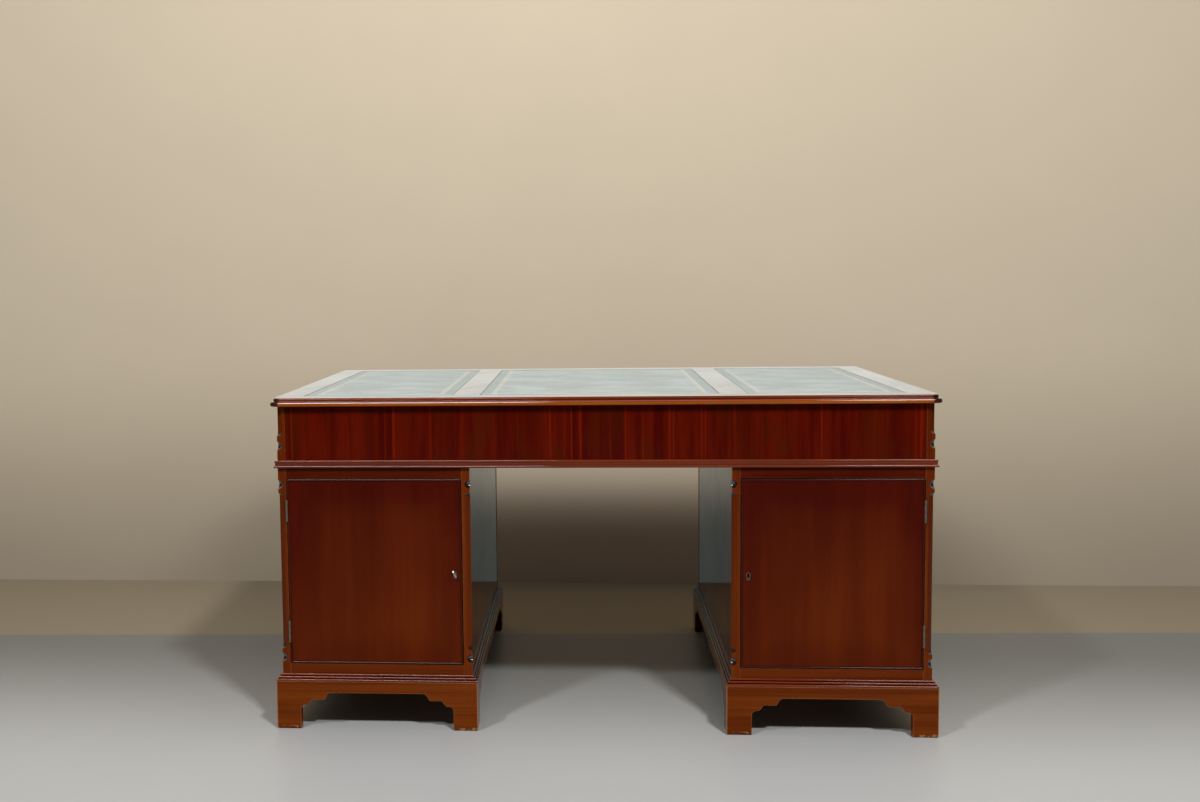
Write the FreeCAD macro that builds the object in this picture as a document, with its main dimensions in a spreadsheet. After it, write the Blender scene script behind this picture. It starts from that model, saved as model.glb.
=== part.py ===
import FreeCAD, Part
import math
import os
import re
import Sketcher
from FreeCAD import Placement, Rotation, Vector

# Partners desk: a top section that rests on two pedestals. Millimetres, +Z up, origin on the
# floor under the middle of the top. X runs along the desk. The cupboard side faces -Y and the
# drawer side faces +Y.

SIZES = {
    # The top: moulded edge and leather inlay
    "top_width": 1524,
    "top_depth": 914,
    "desk_height": 780,
    "top_thickness": 19,
    "nose_radius": 5.5,
    "step_inset": 7.5,
    "step_drop": 1.5,
    "flat_inset": 9.8,
    "leather_depth": 792,
    "centre_leather_width": 551,
    "side_leather_width": 352,
    "leather_gap": 64,
    "leather_thickness": 1.2,
    "leather_recess": 1.5,
    # The cases: posts, panels and boards
    "case_width": 1493,
    "case_depth": 883,
    "pedestal_width": 448,
    "pedestal_top": 617,
    "post_size": 19,
    "panel_setback": 1,
    "panel_thickness": 17,
    "board_thickness": 16,
    "rail_thickness": 20,
    "rail_depth": 60,
    "drawer_rail_height": 16,
    "partition_thickness": 12,
    "partition_front": -20,
    "shelf_low": 366,
    "shelf_front": -400,
    "batten_size": 12,
    # The frieze
    "frieze_panel_thickness": 18,
    "frieze_low_rail": 18,
    "underboard_thickness": 6,
    "runner_width": 30,
    # The carved corners, measured along the diagonal and up the post
    "chamfer_depth": 8.8,
    "tongue_radius": 9.5,
    "notch_depth": 8.8,
    "notch_radius": 10.6,
    "low_notch": 168,
    "chamfer_low": 188.5,
    "chamfer_high": 558.5,
    "high_notch": 578,
    "frieze_notch": 669,
    "frieze_chamfer_low": 691,
    # The waist moulding: a large bead, a plain band and a small bead
    "waist_height": 18,
    "waist_out": 8,
    "waist_bead": 3,
    "waist_band_out": 4,
    "waist_top_out": 6,
    "waist_top_bead": 2.5,
    # The plinth with its bracket feet
    "plinth_height": 114,
    "plinth_out": 13,
    "plinth_thickness": 20,
    "foot_width": 57,
    "foot_height": 57.5,
    "toe_width": 74,
    "rise_width": 84,
    "ledge_height": 70.5,
    "ledge_width": 113,
    "arch_width": 122,
    "arch_height": 87,
    "bracket_round": 11,
    "bracket_ease": 5,
    "corner_block": 36,
    "corner_block_low": 62,
    # The reeded moulding on the plinth
    "reed_radius": 2.7,
    "reed_step": 4,
    # The doors
    "door_low": 153,
    "door_high": 592,
    "door_gap": 1.5,
    "door_thickness": 19,
    "bead_width": 4,
    "bead_out": 2,
    # Hinges
    "hinge_height": 51,
    "hinge_upper": 516,
    "hinge_lower": 230,
    "hinge_leaf": 1.5,
    "hinge_leaf_depth": 18,
    "hinge_bead_gap": 1,
    "knuckle_radius": 2.8,
    "knuckle_play": 0.2,
    "pin_radius": 1.2,
    "pin_play": 0.05,
    # Locks, bolts and the key
    "lock_height": 370,
    "lock_inset": 18,
    "lock_case_width": 34,
    "lock_case_tall": 52,
    "lock_case_deep": 12,
    "lock_case_low": 23,
    "lock_wall": 1.5,
    "key_chamber": 8.5,
    "bolt_length": 22,
    "bolt_tall": 11,
    "bolt_deep": 7,
    "bolt_low": 9,
    "bolt_play": 0.3,
    "bolt_room": 8,
    "key_radius": 2,
    "key_hole": 2.6,
    "key_tip_play": 1,
    "key_bit": 7.5,
    "key_bit_length": 4,
    "key_bit_thickness": 2,
    "key_neck": 3,
    "key_bow_width": 20,
    "key_bow_length": 12,
    "key_bow_thickness": 2.6,
    "key_eye": 1.9,
    "escutcheon_radius": 5,
    "escutcheon_half": 4,
    "escutcheon_drop": 13,
    "escutcheon_depth": 2,
    # Drawers
    "top_drawer": 120,
    "middle_drawer": 135,
    "bottom_drawer": 152,
    "drawer_gap": 1,
    "drawer_front": 19,
    "drawer_side": 10,
    "drawer_bottom": 6,
    "drawer_lift": 8,
    "drawer_rest": 0.2,
    "drawer_headroom": 6,
    "pedestal_drawer_length": 430,
    "frieze_drawer_length": 520,
    # Drawer handles
    "handle_spread": 38,
    "handle_rise": 12,
    "handle_out": 9,
    "handle_offset": 160,
    "rosette_radius": 10,
    "rosette_thickness": 1.5,
    "stem_radius": 4.5,
    "stem_end": 4,
    "nut_radius": 6,
    "nut_thickness": 3,
    "bail_pin": 2,
    "bail_pin_hold": 2,
    "bail_radius": 2.2,
    "bail_half": 46,
    "bail_drop": 34,
    "bail_corner": 20,
    "bail_grip": 3.4,
    "keyhole_drop": 18,
    "keyplate_thickness": 0.6,
}

# Places that several pieces share, as expressions of the sheet's names.
CASE_X = "case_width / 2"
CASE_Y = "case_depth / 2"
KNEE_X = "(case_width / 2 - pedestal_width)"
OPENING_OUT = "(case_width / 2 - post_size)"
OPENING_IN = "(case_width / 2 - pedestal_width + post_size)"
PANEL_FACE = "(case_width / 2 - panel_setback)"
PANEL_BACK = "(case_width / 2 - panel_setback - panel_thickness)"
KNEE_FACE = "(case_width / 2 - pedestal_width + panel_setback)"
KNEE_BACK = "(case_width / 2 - pedestal_width + panel_setback + panel_thickness)"
POST_INNER_Y = "(case_depth / 2 - post_size)"
RAIL_Y = "(case_depth / 2 - rail_thickness)"
TOP_LOW = "(desk_height - top_thickness)"
FRIEZE_FLOOR = "(pedestal_top + frieze_low_rail)"
DOOR_FACE = "(-case_depth / 2)"
DOOR_BACK = "(-case_depth / 2 + door_thickness)"
DOOR_HINGE_X = "(case_width / 2 - post_size - door_gap)"
DOOR_FREE_X = "(case_width / 2 - pedestal_width + post_size + door_gap)"
HINGE_X = "(case_width / 2 - post_size - door_gap / 2)"
HINGE_Y = "(-case_depth / 2 - knuckle_radius - knuckle_play / 2)"
KEY_X = "(case_width / 2 - pedestal_width + post_size + lock_inset)"

HINGE_LEVELS = ("hinge_upper", "hinge_lower")
BOLT_Y = "(-case_depth / 2 + door_thickness - lock_case_deep / 2)"

LEFT = -1
RIGHT = 1
FRONT = -1
BACK = 1
TOOL_REACH = 30
OVERRUN = 1
KEY_TILT = -25

DOC = FreeCAD.newDocument("partners_desk")
SHEET = DOC.addObject("Spreadsheet::Sheet", "Sizes")
SUB_PARTS = []


def fill_sheet():
    """Write every driving dimension to the sheet, with its name as the cell's alias."""
    for row, (name, size) in enumerate(SIZES.items(), start=1):
        SHEET.set(f"A{row}", name)
        SHEET.set(f"B{row}", str(size))
        SHEET.setAlias(f"B{row}", name)
    DOC.recompute()


def spelled(formula):
    """Put the sheet's name in front of each of its aliases in a formula."""

    def prefixed(match):
        word = match.group(0)
        return f"Sizes.{word}" if word in SIZES else word

    return re.sub(r"[a-z][a-z_]*", prefixed, str(formula))


def bind(thing, prop, formula):
    """Bind one property of an object to a formula of the sheet's names."""
    thing.setExpression(prop, spelled(formula))


def seat(thing, at):
    """Bind an object's base point to three formulas."""
    for axis, formula in zip("xyz", at):
        bind(thing, f"Placement.Base.{axis}", formula)
    return thing


def box(x, y, z):
    """A board between a low and a high formula along each axis."""
    block = DOC.addObject("Part::Box", "Board")
    for prop, (low, high) in zip(("Length", "Width", "Height"), (x, y, z)):
        bind(block, prop, f"({high}) - ({low})")
    return seat(block, (x[0], y[0], z[0]))


def rod(axis, radius, start, length):
    """A cylinder that runs from its start point along the X, Y or Z axis."""
    bar = DOC.addObject("Part::Cylinder", "Rod")
    bind(bar, "Radius", radius)
    bind(bar, "Height", length)
    turns = {
        "x": Rotation(Vector(0, 1, 0), 90),
        "y": Rotation(Vector(1, 0, 0), -90),
        "z": Rotation(),
    }
    bar.Placement = Placement(Vector(), turns[axis])
    return seat(bar, start)


def fuse(pieces):
    """One solid out of several that touch or overlap."""
    union = DOC.addObject("Part::MultiFuse", "Fusion")
    union.Shapes = pieces
    return union


def cut(base, tools):
    """The base with every tool taken out of it."""
    result = DOC.addObject("Part::Cut", "Cut")
    result.Base = base
    result.Tool = tools[0] if len(tools) == 1 else fuse(tools)
    return result


def common(pieces):
    """What all the pieces share."""
    result = DOC.addObject("Part::MultiCommon", "Common")
    result.Shapes = pieces
    return result


def sub_part(label, pieces):
    """A named sub-part: one piece, or a group of separate ones."""
    if len(pieces) == 1:
        part = pieces[0]
    else:
        part = DOC.addObject("Part::Compound", "Group")
        part.Links = pieces
    part.Label = label
    SUB_PARTS.append(part)
    return part


def sided(side, low, high):
    """A span that is given for +X, kept there or mirrored to -X."""
    return (low, high) if side == RIGHT else (f"-({high})", f"-({low})")


def both_ways(reach):
    """A span from minus to plus a reach."""
    return (f"-({reach})", reach)


# ---------------------------------------------------------------- the top board

def top_board():
    """A board with a rounded nose, a hollow above it and three shallow recesses."""
    half_x, half_y = "top_width / 2", "top_depth / 2"
    nose_top = f"{TOP_LOW} + 2 * nose_radius"
    nose_mid = f"{TOP_LOW} + nose_radius"
    core_x, core_y = f"{half_x} - nose_radius", f"{half_y} - nose_radius"
    along = fuse(
        [box(both_ways(half_x), both_ways(core_y), (TOP_LOW, nose_top))]
        + [rod("x", "nose_radius", (f"-{half_x}", f"{side} * ({core_y})", nose_mid), "top_width")
           for side in (FRONT, BACK)]
    )
    across = fuse(
        [box(both_ways(core_x), both_ways(half_y), (TOP_LOW, nose_top))]
        + [rod("y", "nose_radius", (f"{side} * ({core_x})", f"-{half_y}", nose_mid), "top_depth")
           for side in (LEFT, RIGHT)]
    )
    hollow = box(both_ways(f"{half_x} - step_inset"), both_ways(f"{half_y} - step_inset"),
                 (TOP_LOW, "desk_height - step_drop"))
    face = box(both_ways(f"{half_x} - flat_inset"), both_ways(f"{half_y} - flat_inset"),
               (TOP_LOW, "desk_height"))
    blank = fuse([common([along, across]), hollow, face])
    height = f"leather_recess + {OVERRUN}"
    recesses = [leather_block(side, "leather_recess", height) for side in (LEFT, 0, RIGHT)]
    sub_part("top_board", [cut(blank, recesses)])


def leather_block(side, depth, height):
    """A block over one leather field: left, middle or right, from its depth below the top."""
    inner = "centre_leather_width / 2 + leather_gap"
    if side:
        span = sided(side, inner, f"{inner} + side_leather_width")
    else:
        span = both_ways("centre_leather_width / 2")
    low = f"desk_height - {depth}"
    return box(span, both_ways("leather_depth / 2"), (low, f"{low} + {height}"))


def leathers():
    """The three writing surfaces, each a thin skin that lies in its recess."""
    left, centre, right = (
        leather_block(side, "leather_recess", "leather_thickness") for side in (LEFT, 0, RIGHT)
    )
    sub_part("centre_leather", [centre])
    sub_part("side_leathers", [left, right])


# ---------------------------------------------------------------- carved corner posts

def carving(side, end, corner_x, notches, chamfer):
    """The cutter for a post's outer corner: scooped notches and a chamfer with curved ends."""
    tools = []
    for level in notches:
        start = (-TOOL_REACH, "notch_radius - notch_depth", level)
        tools.append(rod("x", "notch_radius", start, 2 * TOOL_REACH))
    low, high = chamfer
    run_out = "sqrt(tongue_radius ^ 2 - (tongue_radius - chamfer_depth) ^ 2)"
    tools.append(box((-TOOL_REACH, TOOL_REACH), ("-chamfer_depth", TOOL_REACH),
                     (f"{low} + {run_out}", f"{high} - {run_out}")))
    for level in (f"{low} + {run_out}", f"{high} - {run_out}"):
        start = (-TOOL_REACH, "tongue_radius - chamfer_depth", level)
        tools.append(rod("x", "tongue_radius", start, 2 * TOOL_REACH))
    cutter = fuse(tools)
    heading = math.degrees(math.atan2(end, side)) - 90
    cutter.Placement = Placement(Vector(), Rotation(Vector(0, 0, 1), heading))
    return seat(cutter, (corner_x, f"{end} * {CASE_Y}", 0))


def post(side, end, outward, corner_x, span, notches, chamfer, more_cuts=()):
    """A square post whose outward corner is carved. Its corner is on +X or -X, by side."""
    signed_x = f"{side} * ({corner_x})"
    reach = f"{signed_x} - {outward} * post_size"
    x = (reach, signed_x) if outward > 0 else (signed_x, reach)
    y = (POST_INNER_Y, CASE_Y) if end == BACK else (f"-{CASE_Y}", f"-{POST_INNER_Y}")
    blank = box(x, y, span)
    cutter = carving(outward, end, signed_x, notches, chamfer)
    return cut(blank, [cutter, *more_cuts])


def frieze_posts():
    """Four short posts, chamfered from a notch up to the top board."""
    chamfer = ("frieze_chamfer_low", "desk_height + tongue_radius")
    posts = [
        post(side, end, side, CASE_X, ("pedestal_top", TOP_LOW), ["frieze_notch"], chamfer)
        for side in (LEFT, RIGHT) for end in (FRONT, BACK)
    ]
    sub_part("frieze_posts", posts)


def pedestal_posts(side, name):
    """Four tall posts, carved between two notches, with housings for hinges and bolt."""
    span = ("plinth_height", "pedestal_top")
    notches = ["low_notch", "high_notch"]
    chamfer = ("chamfer_low", "chamfer_high")
    posts = []
    for end in (FRONT, BACK):
        outer_cuts = [leaf_seat(side, level) for level in HINGE_LEVELS] if end == FRONT else ()
        inner_cuts = [bolt_mortise(side)] if end == FRONT else ()
        posts.append(post(side, end, side, CASE_X, span, notches, chamfer, outer_cuts))
        posts.append(post(side, end, -side, KNEE_X, span, notches, chamfer, inner_cuts))
    sub_part(f"{name}_pedestal_posts", posts)


# ---------------------------------------------------------------- the frieze

def frieze_panels():
    """The plain panel on the cupboard side, and the two end panels."""
    rise = ("pedestal_top", TOP_LOW)
    face = f"-{CASE_Y} + panel_setback"
    front = box(both_ways(OPENING_OUT), (face, f"{face} + frieze_panel_thickness"), rise)
    sub_part("frieze_panel", [front])
    ends = [box(sided(side, PANEL_BACK, PANEL_FACE), both_ways(POST_INNER_Y), rise)
            for side in (LEFT, RIGHT)]
    sub_part("frieze_end_panels", ends)


def frieze_rails():
    """The frame of the three frieze drawers: two long rails and two dividers."""
    top_rail = box(both_ways(OPENING_OUT), (RAIL_Y, CASE_Y),
                   (f"{TOP_LOW} - drawer_rail_height", TOP_LOW))
    low_rail = box(both_ways(OPENING_OUT), (f"{CASE_Y} - rail_depth", CASE_Y),
                   ("pedestal_top", FRIEZE_FLOOR))
    dividers = [
        box(sided(side, KNEE_X, OPENING_IN), (RAIL_Y, CASE_Y),
            (FRIEZE_FLOOR, f"{TOP_LOW} - drawer_rail_height"))
        for side in (LEFT, RIGHT)
    ]
    return [top_rail, low_rail, *dividers]


def frieze_inside():
    """The span from the back of the plain panel to the back of the low drawer rail."""
    return f"(-{CASE_Y} + panel_setback + frieze_panel_thickness)", f"{CASE_Y} - rail_depth"


def frieze_underboard():
    """The board that closes the frieze from below."""
    rise = ("pedestal_top", "pedestal_top + underboard_thickness")
    sub_part("frieze_underboard", [box(both_ways(OPENING_OUT), frieze_inside(), rise)])


def frieze_runners():
    """The strips the frieze drawers run on, and the two cross beams that guide them."""
    run = frieze_inside()
    layer = ("pedestal_top + underboard_thickness", FRIEZE_FLOOR)
    strips = []
    for side in (LEFT, RIGHT):
        outer = sided(side, f"{OPENING_OUT} - runner_width", OPENING_OUT)
        inner = sided(side, f"{KNEE_X} - runner_width", f"{OPENING_IN} + runner_width")
        strips += [box(outer, run, layer), box(inner, run, layer)]
        strips.append(box(sided(side, KNEE_X, OPENING_IN), (run[0], RAIL_Y),
                          (FRIEZE_FLOOR, TOP_LOW)))
    return strips


# ---------------------------------------------------------------- mitred surrounds

def mitred(length, outer, depth, rise, section):
    """One length of a surround: its section, cut to a mitre at each end.

    The length lies along X with its outer face at y = -outer and its inner face a depth behind.
    """
    wedge = DOC.addObject("Part::Wedge", "Mitre")
    half = f"({length}) / 2"
    limits = {
        "Xmin": f"-{half}", "Xmax": half,
        "X2min": f"-{half} + {depth}", "X2max": f"{half} - {depth}",
        "Ymin": f"-{outer}", "Ymax": f"{depth} - {outer}",
        "Zmin": rise[0], "Zmax": rise[1], "Z2min": rise[0], "Z2max": rise[1],
    }
    for prop, formula in limits.items():
        bind(wedge, prop, formula)
    return common([section, wedge])


def surround(centre_x, width, depth, make_side):
    """Four mitred lengths round a rectangle: front, right end, back, left end."""
    lengths = []
    for turn in range(4):
        run, reach = (width, depth) if turn % 2 == 0 else (depth, width)
        length = make_side(run)
        angle = 90 * turn
        length.Placement = Placement(Vector(), Rotation(Vector(0, 0, 1), angle))
        away_x = round(math.sin(math.radians(angle)))
        away_y = -round(math.cos(math.radians(angle)))
        seat(length, (f"({centre_x}) + {away_x} * ({reach}) / 2", f"{away_y} * ({reach}) / 2", 0))
        lengths.append(length)
    return lengths


def bead_rod(run, reach, radius, middle):
    """A round bead along a length, whose outermost line is at y = -reach."""
    half = f"(({run}) / 2 + waist_out + plinth_out)"
    return rod("x", radius, (f"-{half}", f"-({reach}) + {radius}", middle), f"2 * {half}")


def band(run, reach, low, high):
    """A flat band along a length, from y = 0 out to y = -reach."""
    half = f"(({run}) / 2 + waist_out + plinth_out)"
    return box(both_ways(half), (f"-({reach})", 0), (low, high))


def waist_side(run):
    """A length of waist moulding: large bead, plain band, small bead."""
    low = "pedestal_top"
    mid = f"{low} + 2 * waist_bead"
    high = f"{low} + waist_height"
    small_low = f"{high} - 2 * waist_top_bead"
    section = fuse([
        band(run, "waist_out - waist_bead", low, mid),
        bead_rod(run, "waist_out", "waist_bead", f"{low} + waist_bead"),
        band(run, "waist_band_out", mid, small_low),
        band(run, "waist_top_out - waist_top_bead", small_low, high),
        bead_rod(run, "waist_top_out", "waist_top_bead", f"{high} - waist_top_bead"),
    ])
    length = f"({run}) + 2 * waist_out"
    return mitred(length, "waist_out", "waist_out", (low, high), section)


def waist_moulding():
    """The moulding round the foot of the frieze."""
    sub_part("waist_moulding", surround(0, "case_width", "case_depth", waist_side))


def reeds_side(run):
    """A length of plinth moulding: three reeds that step back to the case."""
    pieces = []
    for step in range(3):
        reach = f"(plinth_out - {step} * reed_step)"
        low = f"plinth_height + {2 * step} * reed_radius"
        pieces.append(band(run, f"{reach} - reed_radius", low, f"{low} + 2 * reed_radius"))
        pieces.append(bead_rod(run, reach, "reed_radius", f"{low} + reed_radius"))
    rise = ("plinth_height", "plinth_height + 6 * reed_radius")
    length = f"({run}) + 2 * plinth_out"
    return mitred(length, "plinth_out", "plinth_out", rise, fuse(pieces))


def plane_of(body, role):
    """The origin plane of a body that has this role."""
    return next(plane for plane in body.Origin.OriginFeatures if plane.Role == role)


def outline(sketch, corners):
    """Draw a closed outline in a sketch and bind the place of each corner."""
    count = len(corners)
    for index in range(count):
        angle = 2 * math.pi * index / count
        following = 2 * math.pi * (index + 1) / count
        start = Vector(math.cos(angle), math.sin(angle), 0)
        finish = Vector(math.cos(following), math.sin(following), 0)
        sketch.addGeometry(Part.LineSegment(start, finish))
    for index in range(count):
        sketch.addConstraint(Sketcher.Constraint("Coincident", index, 2, (index + 1) % count, 1))
    for index, corner in enumerate(corners):
        for kind, letter, formula in zip(("DistanceX", "DistanceY"), "XY", corner):
            name = f"Corner{index}{letter}"
            sketch.addConstraint(Sketcher.Constraint(kind, -1, 1, index, 1, 1.0))
            sketch.renameConstraint(sketch.ConstraintCount - 1, name)
            bind(sketch, f"Constraints.{name}", formula)


def edges_at(shape, corners):
    """The names of a shape's straight edges that run along Y through these X, Z corners."""
    names = []
    for number, edge in enumerate(shape.Edges, start=1):
        first, last = edge.Vertexes[0].Point, edge.Vertexes[-1].Point
        for x, z in corners:
            through = all(math.dist((end.x, end.z), (x, z)) < 0.01 for end in (first, last))
            if through and abs(first.y - last.y) > 1:
                names.append(f"Edge{number}")
    return names


def value(formula):
    """The number that a formula of the sheet's names has now."""
    return float(SHEET.evalExpression(spelled(formula)))


def plinth_side(run):
    """A plinth board with an arch that leaves a shaped bracket foot at each end."""
    full = f"(({run}) + 2 * plinth_out)"
    half = f"{full} / 2"
    body = DOC.addObject("PartDesign::Body", "PlinthBoard")
    sketch = body.newObject("Sketcher::SketchObject", "PlinthOutline")
    sketch.AttachmentSupport = [(plane_of(body, "XZ_Plane"), "")]
    sketch.MapMode = "FlatFace"
    hollows = [("foot_width", "foot_height"), ("arch_width", "arch_height")]
    steps = [("toe_width", "foot_height"), ("rise_width", "ledge_height"), ("ledge_width", "ledge_height")]
    arch = [("foot_width", 0), hollows[0], *steps, hollows[1]]
    left = [(f"{x} - {half}", z) for x, z in arch]
    right = [(f"{half} - {x}", z) for x, z in reversed(arch)]
    ends = [(half, 0), (half, "plinth_height"), (f"-{half}", "plinth_height"), (f"-{half}", 0)]
    outline(sketch, left + right + ends)
    pad = body.newObject("PartDesign::Pad", "PlinthPad")
    pad.Profile = sketch
    bind(pad, "Length", "plinth_thickness")
    pad.Reversed = True
    DOC.recompute()
    base = pad
    for corners, radius in ((hollows, "bracket_round"), (steps, "bracket_ease")):
        places = [(sign * value(f"{half} - {x}"), value(z)) for sign in (LEFT, RIGHT) for x, z in corners]
        fillet = body.newObject("PartDesign::Fillet", "BracketRounds")
        fillet.Base = (base, edges_at(base.Shape, places))
        bind(fillet, "Radius", radius)
        DOC.recompute()
        base = fillet
    body.Tip = base
    seat(body, (0, "-plinth_out", 0))
    return mitred(full, "plinth_out", "plinth_thickness", (0, "plinth_height"), body)


def plinth(side, name):
    """Four bracket boards, a glue block in each corner, and the reeded moulding on top."""
    centre = f"{side} * (case_width - pedestal_width) / 2"
    boards = surround(centre, "pedestal_width", "case_depth", plinth_side)
    wall = "(plinth_thickness - plinth_out)"
    inner, outer = f"{KNEE_X} + {wall}", f"{CASE_X} - {wall}"
    reach = f"{CASE_Y} - {wall}"
    blocks = []
    for x in ((inner, f"{inner} + corner_block"), (f"{outer} - corner_block", outer)):
        for y in ((f"{reach} - corner_block", reach), (f"-({reach})", f"corner_block - ({reach})")):
            blocks.append(box(sided(side, *x), y, ("corner_block_low", "plinth_height")))
    sub_part(f"{name}_plinth", boards + blocks)
    sub_part(f"{name}_plinth_moulding",
             surround(centre, "pedestal_width", "case_depth", reeds_side))


# ---------------------------------------------------------------- the pedestals

def side_panels(side, name):
    """The two upright panels between the posts of a pedestal."""
    rise = ("plinth_height", "pedestal_top")
    panels = [box(sided(side, *span), both_ways(POST_INNER_Y), rise)
              for span in ((PANEL_BACK, PANEL_FACE), (KNEE_FACE, KNEE_BACK))]
    sub_part(f"{name}_side_panels", panels)


def carcass_boards(side, name):
    """Top and bottom boards, the partition behind the cupboard, and the rails at both faces."""
    inside = sided(side, KNEE_BACK, PANEL_BACK)
    between = sided(side, OPENING_IN, OPENING_OUT)
    deep = both_ways(RAIL_Y)
    pieces = [
        box(inside, deep, ("pedestal_top - board_thickness", "pedestal_top")),
        box(inside, deep, ("door_low - board_thickness", "door_low")),
        box(inside, ("partition_front", "partition_front + partition_thickness"),
            ("door_low", "pedestal_top - board_thickness")),
    ]
    for y in ((f"-{CASE_Y}", f"-{RAIL_Y}"), (RAIL_Y, CASE_Y)):
        pieces.append(box(between, y, ("plinth_height", "door_low")))
        pieces.append(box(between, y, ("door_high", "pedestal_top")))
    sub_part(f"{name}_carcass_boards", pieces)


def rail_levels():
    """The top of the drawer rail under the middle drawer and under the top drawer."""
    lower = "door_low + bottom_drawer + drawer_rail_height"
    return lower, f"{lower} + middle_drawer + drawer_rail_height"


def drawer_frames():
    """The rails between all the drawers, and the runners behind them."""
    rails = frieze_rails()
    runners = frieze_runners()
    behind = ("partition_front + partition_thickness", f"{CASE_Y} - rail_depth")
    strips = ((KNEE_BACK, f"{KNEE_BACK} + runner_width"), (f"{PANEL_BACK} - runner_width", PANEL_BACK))
    for side in (LEFT, RIGHT):
        for top in rail_levels():
            rise = (f"{top} - drawer_rail_height", top)
            front = (f"{CASE_Y} - rail_depth", CASE_Y)
            rails.append(box(sided(side, OPENING_IN, OPENING_OUT), front, rise))
            runners += [box(sided(side, *strip), behind, rise) for strip in strips]
    sub_part("drawer_rails", rails)
    sub_part("drawer_runners", runners)


def cupboard_shelves():
    """One shelf in each cupboard, on two battens."""
    back = "partition_front"
    pieces = []
    for side in (LEFT, RIGHT):
        pieces.append(box(sided(side, KNEE_BACK, PANEL_BACK), ("shelf_front", back),
                          ("shelf_low", "shelf_low + board_thickness")))
        for span in (
            (KNEE_BACK, f"{KNEE_BACK} + batten_size"),
            (f"{PANEL_BACK} - batten_size", PANEL_BACK),
        ):
            pieces.append(box(sided(side, *span), ("shelf_front", back),
                              ("shelf_low - batten_size", "shelf_low")))
    sub_part("cupboard_shelves", pieces)


# ---------------------------------------------------------------- hinges

def hinge_rise(level):
    """The height span of a hinge."""
    return f"{level} - hinge_height / 2", f"{level} + hinge_height / 2"


def leaf_plate(side, level, inner):
    """The flat of a hinge leaf, from the face of the case back, outwards from an X."""
    depth = (f"-{CASE_Y}", f"hinge_leaf_depth - {CASE_Y}")
    return box(sided(side, inner, f"{inner} + hinge_leaf"), depth, hinge_rise(level))


def leaf_seat(side, level):
    """The housing for a frame leaf in the corner post."""
    return leaf_plate(side, level, OPENING_OUT)


def knuckle(side, level, inner, low, high):
    """A barrel round the pin between two thirds of the hinge, with the web to its leaf."""
    start = f"{level} - hinge_height / 2 + {low} * hinge_height / 3"
    tall = f"({high} - {low}) * hinge_height / 3"
    play = "knuckle_play / 2"
    barrel = rod("z", "knuckle_radius", (f"{side} * {HINGE_X}", HINGE_Y, f"{start} + {play}"),
                 f"{tall} - 2 * {play}")
    web = box(sided(side, inner, f"{inner} + hinge_leaf"), (HINGE_Y, f"-{CASE_Y}"),
              (f"{start} + {play}", f"{start} + {tall} - {play}"))
    return [barrel, web]


def leaf(side, level, inner, thirds):
    """One leaf of a butt hinge: its plate, its barrels and the bore for the pin."""
    pieces = [leaf_plate(side, level, inner)]
    for low in thirds:
        pieces += knuckle(side, level, inner, low, low + 1)
    low = hinge_rise(level)[0]
    start = (f"{side} * {HINGE_X}", HINGE_Y, f"{low} - {OVERRUN}")
    bore = rod("z", "pin_radius + pin_play", start, f"hinge_height + {2 * OVERRUN}")
    return cut(fuse(pieces), [bore])


def hinges():
    """Two butt hinges for each door: frame leaves, pins and door leaves."""
    pins = []
    frame_leaves = []
    for side in (LEFT, RIGHT):
        for level in HINGE_LEVELS:
            frame_leaves.append(leaf(side, level, OPENING_OUT, (0, 2)))
            start = (f"{side} * {HINGE_X}", HINGE_Y, hinge_rise(level)[0])
            pins.append(rod("z", "pin_radius", start, "hinge_height"))
    sub_part("hinge_frame_leaves", frame_leaves)
    sub_part("hinge_pins", pins)
    inner = f"{DOOR_HINGE_X} - hinge_leaf"
    for side, name in ((LEFT, "left"), (RIGHT, "right")):
        leaves = [leaf(side, level, inner, (1,)) for level in HINGE_LEVELS]
        sub_part(f"{name}_door_leaves", leaves)


# ---------------------------------------------------------------- locks

def keyhole(x, z, start, length, radius):
    """A round hole along Y with a slot below it for the bit of a key."""
    slot_half = f"({radius} / 2)"
    slot_y = (start, f"{start} + {length}")
    return fuse([
        rod("y", radius, (x, start, z), length),
        box((f"{x} - {slot_half}", f"{x} + {slot_half}"), slot_y, (f"{z} - key_chamber", z)),
    ])


def keyplate(x, z, start, length):
    """The outline of a keyhole escutcheon: a disc with a drop below it."""
    return fuse([
        rod("y", "escutcheon_radius", (x, start, z), length),
        box((f"{x} - escutcheon_half", f"{x} + escutcheon_half"), (start, f"{start} + {length}"),
            (f"{z} - escutcheon_drop", z)),
    ])


def bolt_rise(play):
    """The height span of a bolt, with play round it."""
    low = "lock_height + bolt_low"
    return f"{low} - {play}", f"{low} + bolt_tall + {play}"


def bolt_block(side, inner, outer, play):
    """A block of the bolt's section between two X places, with play round it."""
    half = f"(bolt_deep / 2 + {play})"
    return box(sided(side, inner, outer), (f"{BOLT_Y} - {half}", f"{BOLT_Y} + {half}"),
               bolt_rise(play))


def bolt_mortise(side):
    """The hole in the inner post that the bolt shoots into."""
    return bolt_block(side, f"{OPENING_IN} - bolt_room", OPENING_IN, "2 * bolt_play")


def lock_block(side):
    """The outside of a lock case, let into the back of the door at its free edge."""
    low = "lock_height - lock_case_low"
    return box(sided(side, DOOR_FREE_X, f"{DOOR_FREE_X} + lock_case_width"),
               (f"{DOOR_BACK} - lock_case_deep", DOOR_BACK), (low, f"{low} + lock_case_tall"))


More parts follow.
